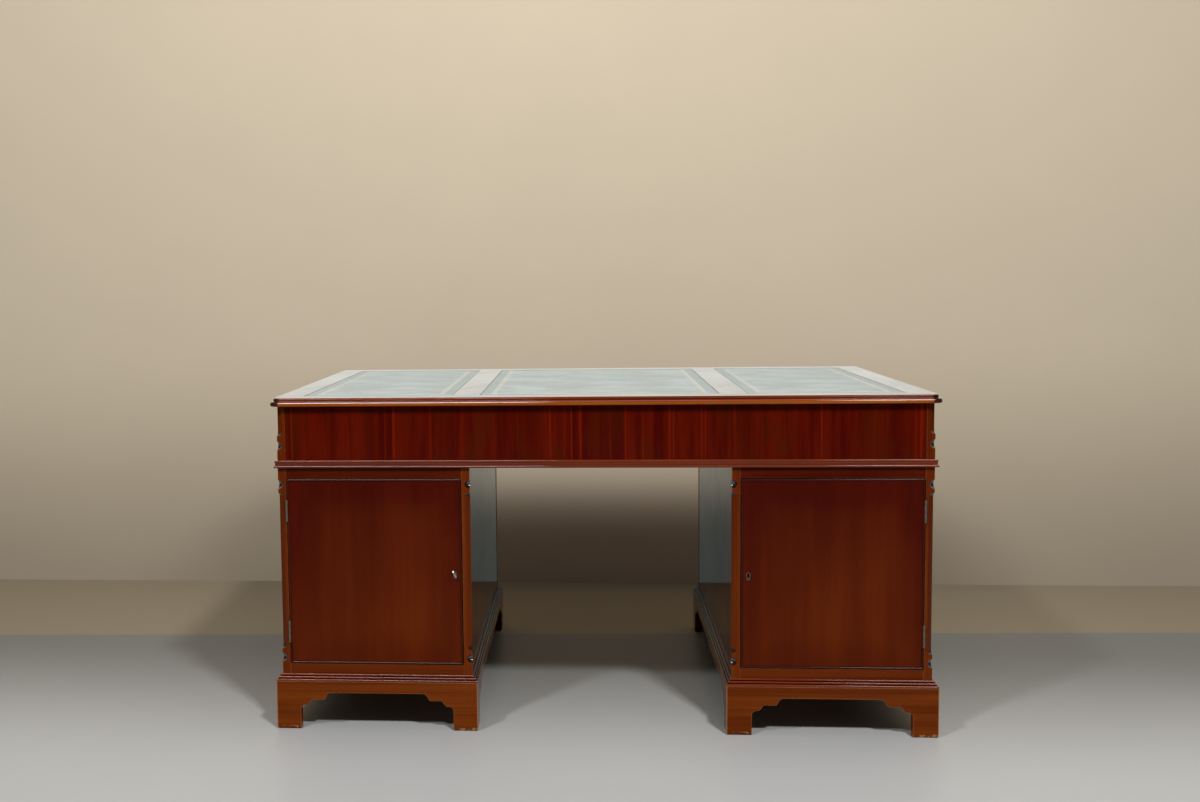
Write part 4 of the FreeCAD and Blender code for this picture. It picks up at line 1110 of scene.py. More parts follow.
@dataclass(frozen=True)
class CarvedPost:
    """A square post whose outward corner is carved with scooped notches and a long chamfer."""

    rise: Span
    notches: Sequence[float]
    long_chamfer: Span
    size: float = 19
    chamfer: float = 8.8
    tongue: float = 9.5
    notch: float = 8.8
    scoop: float = 10.6
    arris: float = 0.5
    gouge: float = 0.13

    @property
    def _run(self) -> float:
        """How long the tongue at each end of the chamfer is."""
        return math.sqrt(self.tongue**2 - (self.tongue - self.chamfer) ** 2)

    def _depth(self, level: float) -> float:
        """How deep the carving is at a level, along the diagonal."""
        depth = 0.0
        for middle in self.notches:
            away = abs(level - middle)
            if away < self.scoop:
                depth = max(depth, self.notch - self.scoop + math.sqrt(self.scoop**2 - away**2))
        low, high, run = *self.long_chamfer, self._run
        if low <= level <= high:
            away = max(low + run - level, level - high + run, 0.0)
            rise = math.sqrt(max(self.tongue**2 - away**2, 0))
            depth = max(depth, self.chamfer - self.tongue + rise)
        return depth

    def _scooped(self, level: float) -> bool:
        """Whether a level lies in one of the notches."""
        return any(abs(level - notch) < self.scoop for notch in self.notches)

    def _levels(self) -> list[float]:
        """The heights at which the carving needs a section of its own."""
        half = math.sqrt(self.scoop**2 - (self.scoop - self.notch) ** 2)
        levels = [middle + half * step / 6 for middle in self.notches for step in range(-6, 7)]
        for end, run in zip(self.long_chamfer, (self._run, -self._run)):
            levels += [end + run * step / 6 for step in range(7)]
        low, high = self.rise
        return sorted(level for level in levels if low + 0.2 < level < high - 0.2)

    def make(self, corner: Span, away: tuple[int, int]) -> BMesh:
        """Build one post.

        Args:
            corner: the place of its carved corner.
            away: which way the carved corner points, along X and along Y.

        Returns:
            The post.
        """
        x, y = (sorted((place, place - way * self.size)) for place, way in zip(corner, away))
        shape = spans(x, y, self.rise, 0)
        uprights = [edge for edge in shape.edges if along(edge, 2)]
        cut = [edge for edge in uprights if math.dist(edge.verts[0].co.xy, corner) < 0.01]
        ease(shape, [edge for edge in uprights if edge not in cut], self.arris, 1)
        ease(shape, cut, self.arris, 4)
        for level in self._levels():
            bmesh.ops.bisect_plane(shape, geom=everything(shape), plane_co=(0, 0, level),
                                   plane_no=(0, 0, 1), dist=0.0001)
        for vert in shape.verts:
            off = (abs(vert.co.x - corner[0]), abs(vert.co.y - corner[1]))
            leg = self._depth(vert.co.z) * math.sqrt(2)
            if max(off) > self.arris + 0.01 or leg <= self.arris:
                continue
            share = min(max((off[0] - off[1]) / (2 * self.arris) + 0.5, 0.0), 1.0)
            sunk = self.gouge * leg * 4 * share * (1 - share) * self._scooped(vert.co.z)
            vert.co.x = corner[0] - away[0] * (leg * share + sunk)
            vert.co.y = corner[1] - away[1] * (leg * (1 - share) + sunk)
        shape.normal_update()
        # Faces in the notches and at the chamfer's ends take the near-black finish: painted shade.
        for face in shape.faces:
            middle = face.calc_center_median()
            ends = any(abs(middle.z - end) < self.tongue * 0.8 for end in self.long_chamfer)
            slanting = min(abs(face.normal.x), abs(face.normal.y)) > 0.2
            carved = (ends or self._scooped(middle.z)) and slanting
            if carved and abs(middle.x - corner[0]) < self.size / 2:
                face.material_index = 1
        return shape


# ---- the frieze


@dataclass
class Frieze:
    """The top section under the board: posts, panels, underboard, waist moulding, drawer frame."""

    finishes: Finishes
    case_x: float = 746.5
    case_y: float = 441.5
    low: float = 617
    high: float = 761
    post: float = 19
    setback: float = 1
    panel: float = 18
    end_panel: float = 17
    notch: float = 669
    chamfer: Span = (691, 790)
    underboard: float = 6
    rail: float = 20
    rail_depth: float = 60
    runner: float = 30
    knee: float = 298.5
    drawer_floor: float = 635
    top_rail_low: float = 745

    @property
    def _within(self) -> Span:
        """The two Y places between the frieze panel and the drawers' rails."""
        return -self.case_y + self.setback + self.panel, self.case_y - self.rail_depth

    def posts(self) -> None:
        """Make the four short carved posts."""
        piece = Piece("carved_frieze_posts")
        post = CarvedPost((self.low, self.high), [self.notch], self.chamfer)
        for side in Side:
            for end in (FRONT, BACK):
                corner = (side.value * self.case_x, end * self.case_y)
                piece.add(post.make(corner, (side.value, end)), self.finishes.solid, Grain.Z,
                          self.finishes.carved)
        piece.make("carcass", "mahogany", "frieze_posts")

    def panels(self) -> None:
        """Make the plain veneered panel of the cupboard side and the two end panels."""
        reach = self.case_x - self.post
        face = -self.case_y + self.setback
        front = Piece("veneered_frieze_panel")
        front.add(spans((-reach, reach), (face, face + self.panel), (self.low, self.high), 0.2),
                  self.finishes.frieze, Grain.Z)
        front.make("carcass", "mahogany_veneer", "frieze_panel")
        ends = Piece("veneered_frieze_ends")
        outer = self.case_x - self.setback
        deep = self.case_y - self.post
        for side in Side:
            x = (outer - self.end_panel, outer)
            ends.add(side.board(x, (-deep, deep), (self.low, self.high), 0.2),
                     self.finishes.frieze, Grain.Z)
        ends.make("carcass", "mahogany_veneer", "frieze_end_panels")

    def waist(self) -> None:
        """Make the moulding round the foot of the frieze: a bead, a band and a smaller bead."""
        low = self.low
        section = (
            Corner(0, low), Corner(8, low, 2.9), Corner(8, low + 5.9, 2.9), Corner(4.9, low + 5.9),
            Corner(4.9, low + 13.2), Corner(6, low + 13.2, 1.1), Corner(6, low + 18, 2.3),
            Corner(0, low + 18),
        )
        piece = Piece("waist_beads")
        for shape, grain in surround(moulding(section), 0, 2 * self.case_x, 2 * self.case_y):
            piece.add(shape, self.finishes.moulding, grain)
        piece.make("carcass", "mahogany", "waist_moulding")

    def underside(self) -> None:
        """Make the board that closes the frieze from below."""
        piece = Piece("frieze_bottom_board")
        reach = self.case_x - self.post
        rise = (self.low, self.low + self.underboard)
        piece.add(spans((-reach, reach), self._within, rise, 0.3), self.finishes.lining)
        piece.make("carcass", "drawer_wood", "frieze_underboard")

    def rails(self, piece: Piece) -> None:
        """Add the frame of the three frieze drawers to a piece."""
        reach, y = self.case_x - self.post, (self.case_y - self.rail, self.case_y)
        wood = self.finishes.solid
        piece.add(spans((-reach, reach), y, (self.top_rail_low, self.high), 0.4), wood)
        piece.add(spans((-reach, reach), (self.case_y - self.rail_depth, self.case_y),
                        (self.low, self.drawer_floor), 0.4), wood)
        x = (self.knee, self.knee + self.post)
        for side in Side:
            shape = side.board(x, y, (self.drawer_floor, self.top_rail_low), 0.4)
            piece.add(shape, wood, Grain.Z)

    def runners(self, piece: Piece) -> None:
        """Add the strips that the frieze drawers run on, and their cross beams, to a piece."""
        layer = (self.low + self.underboard, self.drawer_floor)
        outer, wood = self.case_x - self.post, self.finishes.lining
        for side in Side:
            for x in ((outer - self.runner, outer),
                      (self.knee - self.runner, self.knee + self.post + self.runner)):
                piece.add(side.board(x, self._within, layer), wood, Grain.Y)
            y = (self._within[0], self.case_y - self.rail)
            x = (self.knee, self.knee + self.post)
            piece.add(side.board(x, y, (self.drawer_floor, self.high)), wood, Grain.Y)


# ---- the pedestals


@dataclass
class Pedestal:
    """One pedestal: posts, panels, boards, and the plinth it stands on."""

    finishes: Finishes
    side: Side
    outer: float = 746.5
    inner: float = 298.5
    case_y: float = 441.5
    post: float = 19
    foot: float = 114
    head: float = 617
    setback: float = 1
    panel: float = 17
    notches: Sequence[float] = (168, 578)
    chamfer: Span = (188.5, 558.5)
    plinth_out: float = 13
    plinth_thick: float = 20
    glue_block: float = 36
    glue_block_low: float = 62
    door_low: float = 153
    door_high: float = 592
    board: float = 16
    rail: float = 20
    partition: Span = (-20, -8)
    shelf: Span = (366, 382)
    shelf_front: float = -400
    batten: float = 12

    @property
    def _inside(self) -> Span:
        """The two X places, on the right side, of the panels' inner faces."""
        thick = self.setback + self.panel
        return self.inner + thick, self.outer - thick

    def _clothe(self, piece: Piece, make: Callable[[float], BMesh], lit: Material,
                shaded: Material) -> None:
        """Add a length for each side of the case, the darker painted-shade copy beside the
        kneehole.
        """
        middle = self.side.value * (self.outer + self.inner) / 2
        lengths = surround(make, middle, self.outer - self.inner, 2 * self.case_y)
        for quarter, (shape, grain) in enumerate(lengths):
            piece.add(shape, shaded if quarter == 2 + self.side.value else lit, grain)

    def posts(self, mortise: BMesh) -> None:
        """Make the four tall carved posts, the inner front one with a mortise for the bolt."""
        sign = self.side.value
        post = CarvedPost((self.foot, self.head), self.notches, self.chamfer)
        for end, word in ((FRONT, "front"), (BACK, "back")):
            piece = Piece(f"{self.side.word}_{word}_posts")
            for x, away in ((self.outer, sign), (self.inner, -sign)):
                shape = post.make((sign * x, end * self.case_y), (away, end))
                if end == FRONT and x == self.inner:
                    shape = worked(shape, [mortise])
                piece.add(shape, self.finishes.solid, Grain.Z, self.finishes.carved)
            piece.make("carcass", "mahogany", f"{self.side.word}_pedestal_posts")

    def panels(self) -> None:
        """Make the two upright side panels."""
        piece = Piece(f"{self.side.word}_veneered_sides")
        deep = self.case_y - self.post
        low, high = self._inside
        # The panel beside the kneehole takes the darker veneer: painted shade.
        for x, finish in (((high, high + self.panel), self.finishes.door),
                          ((low - self.panel, low), self.finishes.shaded_knee_veneer)):
            piece.add(self.side.board(x, (-deep, deep), (self.foot, self.head), 0.2),
                      finish, Grain.Z)
        piece.make("carcass", "mahogany_veneer", f"{self.side.word}_side_panels")

    def boards(self) -> None:
        """Make the top and bottom boards, the partition and the rails round the openings."""
        piece = Piece(f"{self.side.word}_case_boards")
        inside = self.finishes.inside
        x, deep = self.side.span(*self._inside), self.case_y - self.rail
        for high in (self.head, self.door_low):
            piece.add(spans(x, (-deep, deep), (high - self.board, high)), inside, Grain.Y)
        rise = (self.door_low, self.head - self.board)
        piece.add(spans(x, self.partition, rise), inside, Grain.Z)
        between = self.side.span(self.inner + self.post, self.outer - self.post)
        for y in ((-self.case_y, -deep), (deep, self.case_y)):
            for rise in ((self.foot, self.door_low), (self.door_high, self.head)):
                # The rails take the darker rail finish: painted shade.
                piece.add(spans(between, y, rise, 0.4), self.finishes.rail)
        piece.make("carcass", "mahogany", f"{self.side.word}_carcass_boards")

    def _bracket_board(self, run: float) -> BMesh:
        """A mitred plinth board with an arch between its feet, for a side of the case."""
        half = run / 2 + self.plinth_out
        arch = ((57, 0), (57, 57.5), (74, 57.5), (84, 70.5), (113, 70.5), (122, 87))
        left = [(x - half, z) for x, z in arch]
        right = [(half - x, z) for x, z in reversed(arch)]
        outline = left + right + [(half, 0), (half, self.foot), (-half, self.foot), (-half, 0)]
        shape = bmesh.new()
        verts = [shape.verts.new((x, -self.plinth_out, z)) for x, z in outline]
        raise_face(shape, verts, (0, self.plinth_thick, 0))
        rounds = (((57, 57.5), 11, 8), ((122, 87), 6.53, 8), ((74, 57.5), 2.46, 4),
                  ((84, 70.5), 2.46, 4), ((113, 70.5), 2.97, 4))
        for (x, z), radius, steps in rounds:
            ease(shape, self._through(shape, half - x, z), radius, steps)
        mitre(shape, half, -self.plinth_out)
        soles = [edge for edge in shape.edges if self._on_face(edge, half)
                 and all(vert.co.z < 0.01 for vert in edge.verts)]
        ease(shape, soles, 5.0, 5)
        rims = [edge for edge in shape.edges if self._on_face(edge, half)
                and any(vert.co.z > 5.5 for vert in edge.verts)]
        ease(shape, rims, 0.9, 3)
        return shape

    def _through(self, shape: BMesh, x: float, z: float) -> list[BMEdge]:
        """The edges along Y at a place and at its mirror image."""
        return [edge for edge in shape.edges if along(edge, 1) and all(
            math.hypot(abs(vert.co.x) - x, vert.co.z - z) < 0.05 for vert in edge.verts)]

    def _on_face(self, edge: BMEdge, half: float) -> bool:
        """Whether an edge bounds the outer face, not at its mitres or its top."""
        if any(vert.co.y > -self.plinth_out + 0.01 for vert in edge.verts):
            return False
        at_end = all(abs(vert.co.x) > half - 0.01 for vert in edge.verts)
        at_top = all(vert.co.z > self.foot - 0.01 for vert in edge.verts)
        return not at_end and not at_top

    def plinth(self) -> None:
        """Make the four bracket boards with a glue block in each corner."""
        piece = Piece(f"{self.side.word}_bracket_plinth")
        self._clothe(piece, self._bracket_board, self.finishes.plinth, self.finishes.knee_plinth)
        inset = self.plinth_thick - self.plinth_out
        deep = self.case_y - inset
        inner, outer = self.inner + inset, self.outer - inset
        for x in ((inner, inner + self.glue_block), (outer - self.glue_block, outer)):
            for y in ((deep - self.glue_block, deep), (-deep, self.glue_block - deep)):
                piece.add(self.side.board(x, y, (self.glue_block_low, self.foot), 1.0),
                          self.finishes.inside, Grain.Z)
        piece.make("carcass", "mahogany", f"{self.side.word}_plinth")

    def reeds(self) -> None:
        """Make the reeded moulding that stands on the plinth."""
        section = [Corner(0, self.foot)]
        for step in range(3):
            out, low = 13 - 4 * step, self.foot + 5.4 * step
            section += [Corner(out, low + 0.15 * step, 2.55), Corner(out, low + 5.15, 2.55)]
            if step < 2:
                section += [Corner(out - 6.2, low + 5.15), Corner(out - 6.2, low + 5.55)]
        section.append(Corner(0, self.foot + 5.4 * 3 - 0.25))
        piece = Piece(f"{self.side.word}_reeded_moulding")
        self._clothe(piece, moulding(section), self.finishes.moulding, self.finishes.shaded_knee_moulding)
        piece.make("carcass", "mahogany", f"{self.side.word}_plinth_moulding")

    def add_shelf(self, piece: Piece) -> None:
        """Add the cupboard's shelf and its two battens to a piece."""
        low, high = self._inside
        y = (self.shelf_front, self.partition[0])
        piece.add(spans(self.side.span(low, high), y, self.shelf, 0.8), self.finishes.lining)
        rise = (self.shelf[0] - self.batten, self.shelf[0])
        for x in ((low, low + self.batten), (high - self.batten, high)):
            piece.add(self.side.board(x, y, rise), self.finishes.lining, Grain.Y)


# ---- doors, hinges and locks


@dataclass(frozen=True)
class BeadFrame:
    """A raised bead round a rectangular face that stands upright in the XZ plane."""

    x: Span
    z: Span
    face: float
    facing: int
    width: float = 4.0
    proud: float = 2.0

    def _strip(self, start: Span, heading: tuple[int, int], length: float,
               ends: tuple[bool, bool]) -> BMesh:
        """One strip of bead.

        Args:
            start: where it begins, at the face's own edge.
            heading: the way it runs, along X and along Z.
            length: its length at the face's edge.
            ends: whether its first and its last end are mitred.

        Returns:
            The strip in place.
        """
        shape = block((0, 0, 0), (length, self.width, self.proud), 0)
        crests = [edge for edge in shape.edges if along(edge, 0)
                  and all(vert.co.z > self.proud - 0.01 for vert in edge.verts)]
        ease(shape, crests, min(1.55, self.width * 0.42), 4)
        for vert in shape.verts:
            if ends[0] and vert.co.x < 0.01:
                vert.co.x += vert.co.y
            if ends[1] and vert.co.x > length - 0.01:
                vert.co.x -= vert.co.y
        # The bead's outer flank beside the gap takes the matte near-black finish: painted shade.
        for face in shape.faces:
            if face.calc_center_median().y < 0.7:
                face.material_index = 1
        axes = ((heading[0], 0, heading[1]), (-heading[1], 0, heading[0]), (0, self.facing, 0))
        matrix = Matrix(axes).transposed().to_4x4()
        matrix.translation = Vector((start[0], self.face, start[1]))
        bmesh.ops.transform(shape, matrix=matrix, verts=shape.verts)
        return outward(shape)

    def strips(self, gaps: Sequence[Span] = (), gap_side: int = 0) -> list[tuple[BMesh, Grain]]:
        """All the strips of the frame.

        Args:
            gaps: heights between which the bead is left out on one upright.
            gap_side: which upright has the gaps, -1 or 1, or 0 for neither.

        Returns:
            Each strip with the way its grain runs.
        """
        (left, right), (low, high) = self.x, self.z
        made = [(self._strip(start, heading, right - left, (True, True)), Grain.X)
                for start, heading in (((left, low), (1, 0)), ((right, high), (-1, 0)))]
        for side in (LEFT, RIGHT):
            stops = [low, high] if side != gap_side else sorted([low, high, *sum(gaps, ())])
            for first, last in zip(stops[::2], stops[1::2]):
                mitred = (first == low, last == high)
                if side == RIGHT:
                    strip = self._strip((right, first), (0, 1), last - first, mitred)
                else:
                    strip = self._strip((left, last), (0, -1), last - first, mitred[::-1])
                made.append((strip, Grain.Z))
        return made


@dataclass(frozen=True)
class Keyhole:
    """A keyhole and the brass that lines it, upright in the XZ plane."""

    radius: float = 5
    drop: float = 13
    half: float = 4
    hole: float = 3.2
    slot: float = 2.3
    slot_drop: float = 11.4

    def _outline(self, x: float, y: Span, z: float, radius: float, half: float,
                 drop: float) -> BMesh:
        """A disc with a drop below it, as thick as a Y span."""
        disc = lathe([(0, 0), (radius, 0), (radius, y[1] - y[0]), (0, y[1] - y[0])], (x, y[0], z))
        tail = spans((x - half, x + half), y, (z - drop, z), 0)
        uprights = [edge for edge in tail.edges if along(edge, 1, 0.1)
                    and all(vert.co.z < z - 1 for vert in edge.verts)]
        ease(tail, uprights, min(1.5, half * 0.6), 3)
        return worked(disc, [tail], "UNION")

    def plate(self, x: float, y: Span, z: float) -> BMesh:
        """The brass, with the hole through it."""
        return worked(self.seat(x, y, z), [self.opening(x, (y[0] - 1, y[1] + 1), z)])

    def seat(self, x: float, y: Span, z: float) -> BMesh:
        """The shape to cut where the brass is let in."""
        return self._outline(x, y, z, self.radius, self.half, self.drop)

    def opening(self, x: float, y: Span, z: float) -> BMesh:
        """The hole itself."""
        return self._outline(x, y, z, self.hole, self.slot, self.slot_drop)


@dataclass
class Cupboard:
    """A pedestal's inset door with its hinges, its lock and, on the left, its key."""

    finishes: Finishes
    side: Side
    keyhole: Keyhole = Keyhole(radius=4.7, drop=12.4, half=3.6, hole=3.5, slot=2.5, slot_drop=11.2)
    free_x: float = 319
    hinge_x: float = 726
    low: float = 154.5
    high: float = 590.5
    face: float = -441.5
    back: float = -422.5
    hinge_levels: Sequence[float] = (230, 516)
    hinge_tall: float = 51
    leaf: float = 1.5
    leaf_deep: float = 18
    pin_x: float = 726.75
    pin_y: float = -444.4
    knuckle: float = 2.8
    pin: float = 1.2
    key_x: float = 335.5
    lock_z: float = 370
    lock_x: Span = (319, 353)
    lock_rise: Span = (347, 399)
    lock_front: float = -434.5
    bolt_y: Span = (-432, -425)
    bolt_rise: Span = (379, 390)
    bolt_length: float = 22
    bolt_room: float = 8

    def _leaf_plate(self, level: float, x: Span) -> BMesh:
        """The flat of a hinge leaf."""
        half = self.hinge_tall / 2
        return self.side.board(x, (self.face, self.face + self.leaf_deep),
                               (level - half, level + half), 0.12)

    def _lock_block(self) -> BMesh:
        """The outside of the lock case."""
        return spans(self.side.span(*self.lock_x), (self.lock_front, self.back), self.lock_rise, 0)

    def _bolt_block(self, x: Span, play: float) -> BMesh:
        """A block of the bolt's section with play round it."""
        return self.side.board(x, (self.bolt_y[0] - play, self.bolt_y[1] + play),
                               (self.bolt_rise[0] - play, self.bolt_rise[1] + play), 0)

    def mortise(self) -> BMesh:
        """The hole in the inner post that the bolt shoots into."""
        return self._bolt_block((self.free_x - 1.5 - self.bolt_room, self.free_x), 0.6)

    def door(self) -> None:
        """Make the door: a veneered slab with housings, and a bead round its face."""
        word, sign = self.side.word, self.side.value
        span = self.side.span(self.free_x, self.hinge_x)
        slab = spans(span, (self.face, self.back), (self.low, self.high), 0.35)
        key_x = sign * self.key_x
        hole = self.keyhole
        tools = [self._leaf_plate(level, (self.hinge_x - self.leaf, self.hinge_x + 1))
                 for level in self.hinge_levels]
        tools.append(self._lock_block())
        tools.append(hole.seat(key_x, (self.face - 1, self.face + 2), self.lock_z))
        tools.append(hole.opening(key_x, (self.face, self.lock_front + 1), self.lock_z))
        piece = Piece(f"{word}_cupboard_door")
        piece.add(worked(slab, tools), self.finishes.door, Grain.Z)
        half = self.hinge_tall / 2 + 1
        gaps = [(level - half, level + half) for level in self.hinge_levels]
        frame_bead = BeadFrame(span, (self.low, self.high), self.face, FRONT)
        for shape, grain in frame_bead.strips(gaps, sign):
            finish = self.finishes.upright_bead if grain is Grain.Z else self.finishes.bead
            piece.add(shape, finish, grain, self.finishes.stain)
        piece.make(f"{word}_door_body", "mahogany_veneer", f"{word}_door")

    def _knuckle(self, level: float, third: int, x: Span) -> list[BMesh]:
        """One barrel of a hinge with its web to the leaf."""
        tall = self.hinge_tall / 3
        start = level - self.hinge_tall / 2 + third * tall + 0.12
        profile = [(self.pin, 0), (self.knuckle - 0.25, 0), (self.knuckle, 0.25),
                   (self.knuckle, tall - 0.49), (self.knuckle - 0.25, tall - 0.24),
                   (self.pin, tall - 0.24), (self.pin, 0)]
        barrel = lathe(profile, (self.side.value * self.pin_x, self.pin_y, start), "Z", 20)
        web = self.side.board(x, (self.pin_y + 1.6, self.face + 0.2),
                              (start, start + tall - 0.24), 0)
        return [barrel, web]

    def _screws(self, level: float, x: float, facing: int) -> list[BMesh]:
        """Three countersunk screw heads in a leaf, each with its slot."""
        heads = []
        for number, rise in enumerate((-17.0, 0.0, 17.0)):
            profile = [(0, -0.4), (3.1, -0.4), (3.1, 0.05), (2.7, 0.16), (0, 0.2)]
            out = "X" if facing * self.side.value > 0 else "-X"
            at = (self.side.value * x, self.face + 9 + (number % 2) * 3, level + rise)
            head = lathe(profile, at, out, 16)
            slot = spans((at[0] - 0.1, at[0] + 0.6), (at[1] - 4, at[1] + 4),
                         (at[2] - 0.35, at[2] + 0.35), 0)
            if out == "-X":
                move(slot, (-0.5, 0, 0))
            turn(slot, 35 * (number + 1), "X", at)
            heads.append(worked(head, [slot]))
        return heads

    def _leaves(self, piece: Piece, x: Span, thirds: Sequence[int], facing: int) -> None:
        """Add the leaves of one half of the hinges, with their barrels and screws, to a piece."""
        for level in self.hinge_levels:
            shapes = [self._leaf_plate(level, x)]
            for third in thirds:
                shapes += self._knuckle(level, third, x)
            shapes += self._screws(level, x[0] if facing == LEFT else x[1], facing)
            for shape in shapes:
                piece.add(shape, self.finishes.hinge, Grain.Z)

    def frame_leaves(self, piece: Piece) -> None:
        """Add the leaves on the post, with the first and last barrels, to a piece."""
        x = (self.hinge_x + self.leaf, self.hinge_x + 2 * self.leaf)
        self._leaves(piece, x, (0, 2), LEFT)

    def pins(self, piece: Piece) -> None:
        """Add the two hinge pins to a piece."""
        for level in self.hinge_levels:
            tall, radius = self.hinge_tall, self.pin - 0.02
            profile = [(0, 0), (radius * 0.7, 0.1), (radius, 0.5), (radius, tall - 0.5),
                       (radius * 0.7, tall - 0.1), (0, tall)]
            at = (self.side.value * self.pin_x, self.pin_y, level - tall / 2)
            piece.add(lathe(profile, at, "Z", 16), self.finishes.hinge, Grain.Z)

    def door_leaves(self) -> None:
        """Make the leaves on the door, with the middle barrel of each hinge."""
        piece = Piece(f"{self.side.word}_hinge_leaves")
        self._leaves(piece, (self.hinge_x - self.leaf, self.hinge_x), (1,), RIGHT)
        piece.make(f"{self.side.word}_door_body", "brass", f"{self.side.word}_door_leaves")

    def lock(self) -> None:
        """Make the lock case, the keyhole's brass and the bolt."""
        word, key_x = self.side.word, self.side.value * self.key_x
        bolt_end = self.free_x + self.bolt_length
        way = self._bolt_block((self.free_x - 1, bolt_end + self.bolt_room), 0.3)
        chamber = rod(8.5, (key_x, self.lock_front + 1.5, self.lock_z), 9, steps=32)
        # The chamber inside the lock case takes the matte near-black finish: painted shade.
        for face in chamber.faces:
            face.material_index = 1
        hole = self.keyhole
        entry = hole.opening(key_x, (self.lock_front - 1, self.lock_front + 2), self.lock_z)
        case = worked(self._lock_block(), [chamber, way, entry])
        piece = Piece(f"{word}_cupboard_lock")
        piece.add(case, self.finishes.brass, Grain.Z, self.finishes.stain)
        piece.add(hole.plate(key_x, (self.face, self.face + 2), self.lock_z), self.finishes.hinge)
        for x, z in ((4, 4), (30, 4), (4, 48), (30, 48)):
            at = (self.side.value * (self.lock_x[0] + x), self.back, self.lock_rise[0] + z)
            head = lathe([(0, -0.3), (2.2, -0.3), (2.2, 0.1), (1.8, 0.35), (0, 0.45)], at, "Y", 16)
            piece.add(head, self.finishes.brass)
        piece.make(f"{word}_door_body", "brass", f"{word}_door_lock")
        bolt = Piece(f"{word}_sliding_bolt")
        bolt.add(spans(self.side.span(self.free_x, bolt_end), self.bolt_y, self.bolt_rise, 0.5),
                 self.finishes.steel)
        bolt.make(f"{word}_bolt_body", "steel", f"{word}_lock_bolt")


@dataclass
class Key:
    """The key in the left lock."""

    finishes: Finishes
    x: float = -335.5
    z: float = 370
    tip: float = -425
    shoulder: float = -444.5
    stem: float = 2
    bow_tall: float = 20
    bow_long: float = 12
    bow_thick: float = 2.6
    bit: float = 7.5
    tilt: float = -25

    def make(self) -> None:
        """Make the key: an oval bow, a collared stem and a bit with two wards."""
        piece = Piece("cupboard_key")
        long, stem = self.tip - self.shoulder, self.stem
        profile = [(0, -0.4), (stem, 0), (stem + 0.35, 0.5), (stem + 0.35, 1.3), (stem, 1.8),
                   (stem, long - 0.4), (stem - 0.4, long), (0, long)]
        bit = block((-1, self.tip - 5, -self.bit), (1, self.tip - 1, 0), 0.2)
        ward = block((-2, self.tip - 3.4, -self.bit - 1), (2, self.tip - 2.6, -self.bit + 2.6), 0)
        stem_ = lathe(profile, (0, self.shoulder, 0), "Y", 20)
        for shape in (stem_, worked(bit, [ward]), self._bow()):
            turn(shape, self.tilt, "Y")
            move(shape, (self.x, 0, self.z))
            piece.add(shape, self.finishes.steel, Grain.Z)
        piece.make("key_body", "steel", "left_door_key")

    def _bow(self) -> BMesh:
        """The flat oval ring that the fingers turn."""
        middle = self.shoulder - self.bow_long / 2
        bow = self._oval(middle, self.bow_long / 2, self.bow_tall / 2, self.bow_thick / 2)
        eye = self._oval(middle, self.bow_long / 2 - 2.2, self.bow_tall / 2 - 2.5, self.bow_thick)
        bow = worked(bow, [eye])
        rim = [edge for edge in bow.edges
               if len(edge.link_faces) == 2 and edge.calc_face_angle() > 1.0]
        ease(bow, rim, 0.55, 2)
        return bow

    def _oval(self, middle: float, half_y: float, half_z: float, half_x: float) -> BMesh:
        """An oval plate across X."""
        shape = lathe([(0, -half_x), (1, -half_x), (1, half_x), (0, half_x)], (0, 0, 0), "X", 32)
        bmesh.ops.scale(shape, vec=(1, half_y, half_z), verts=shape.verts)
        move(shape, (0, middle, 0))
        return shape


# ---- drawers


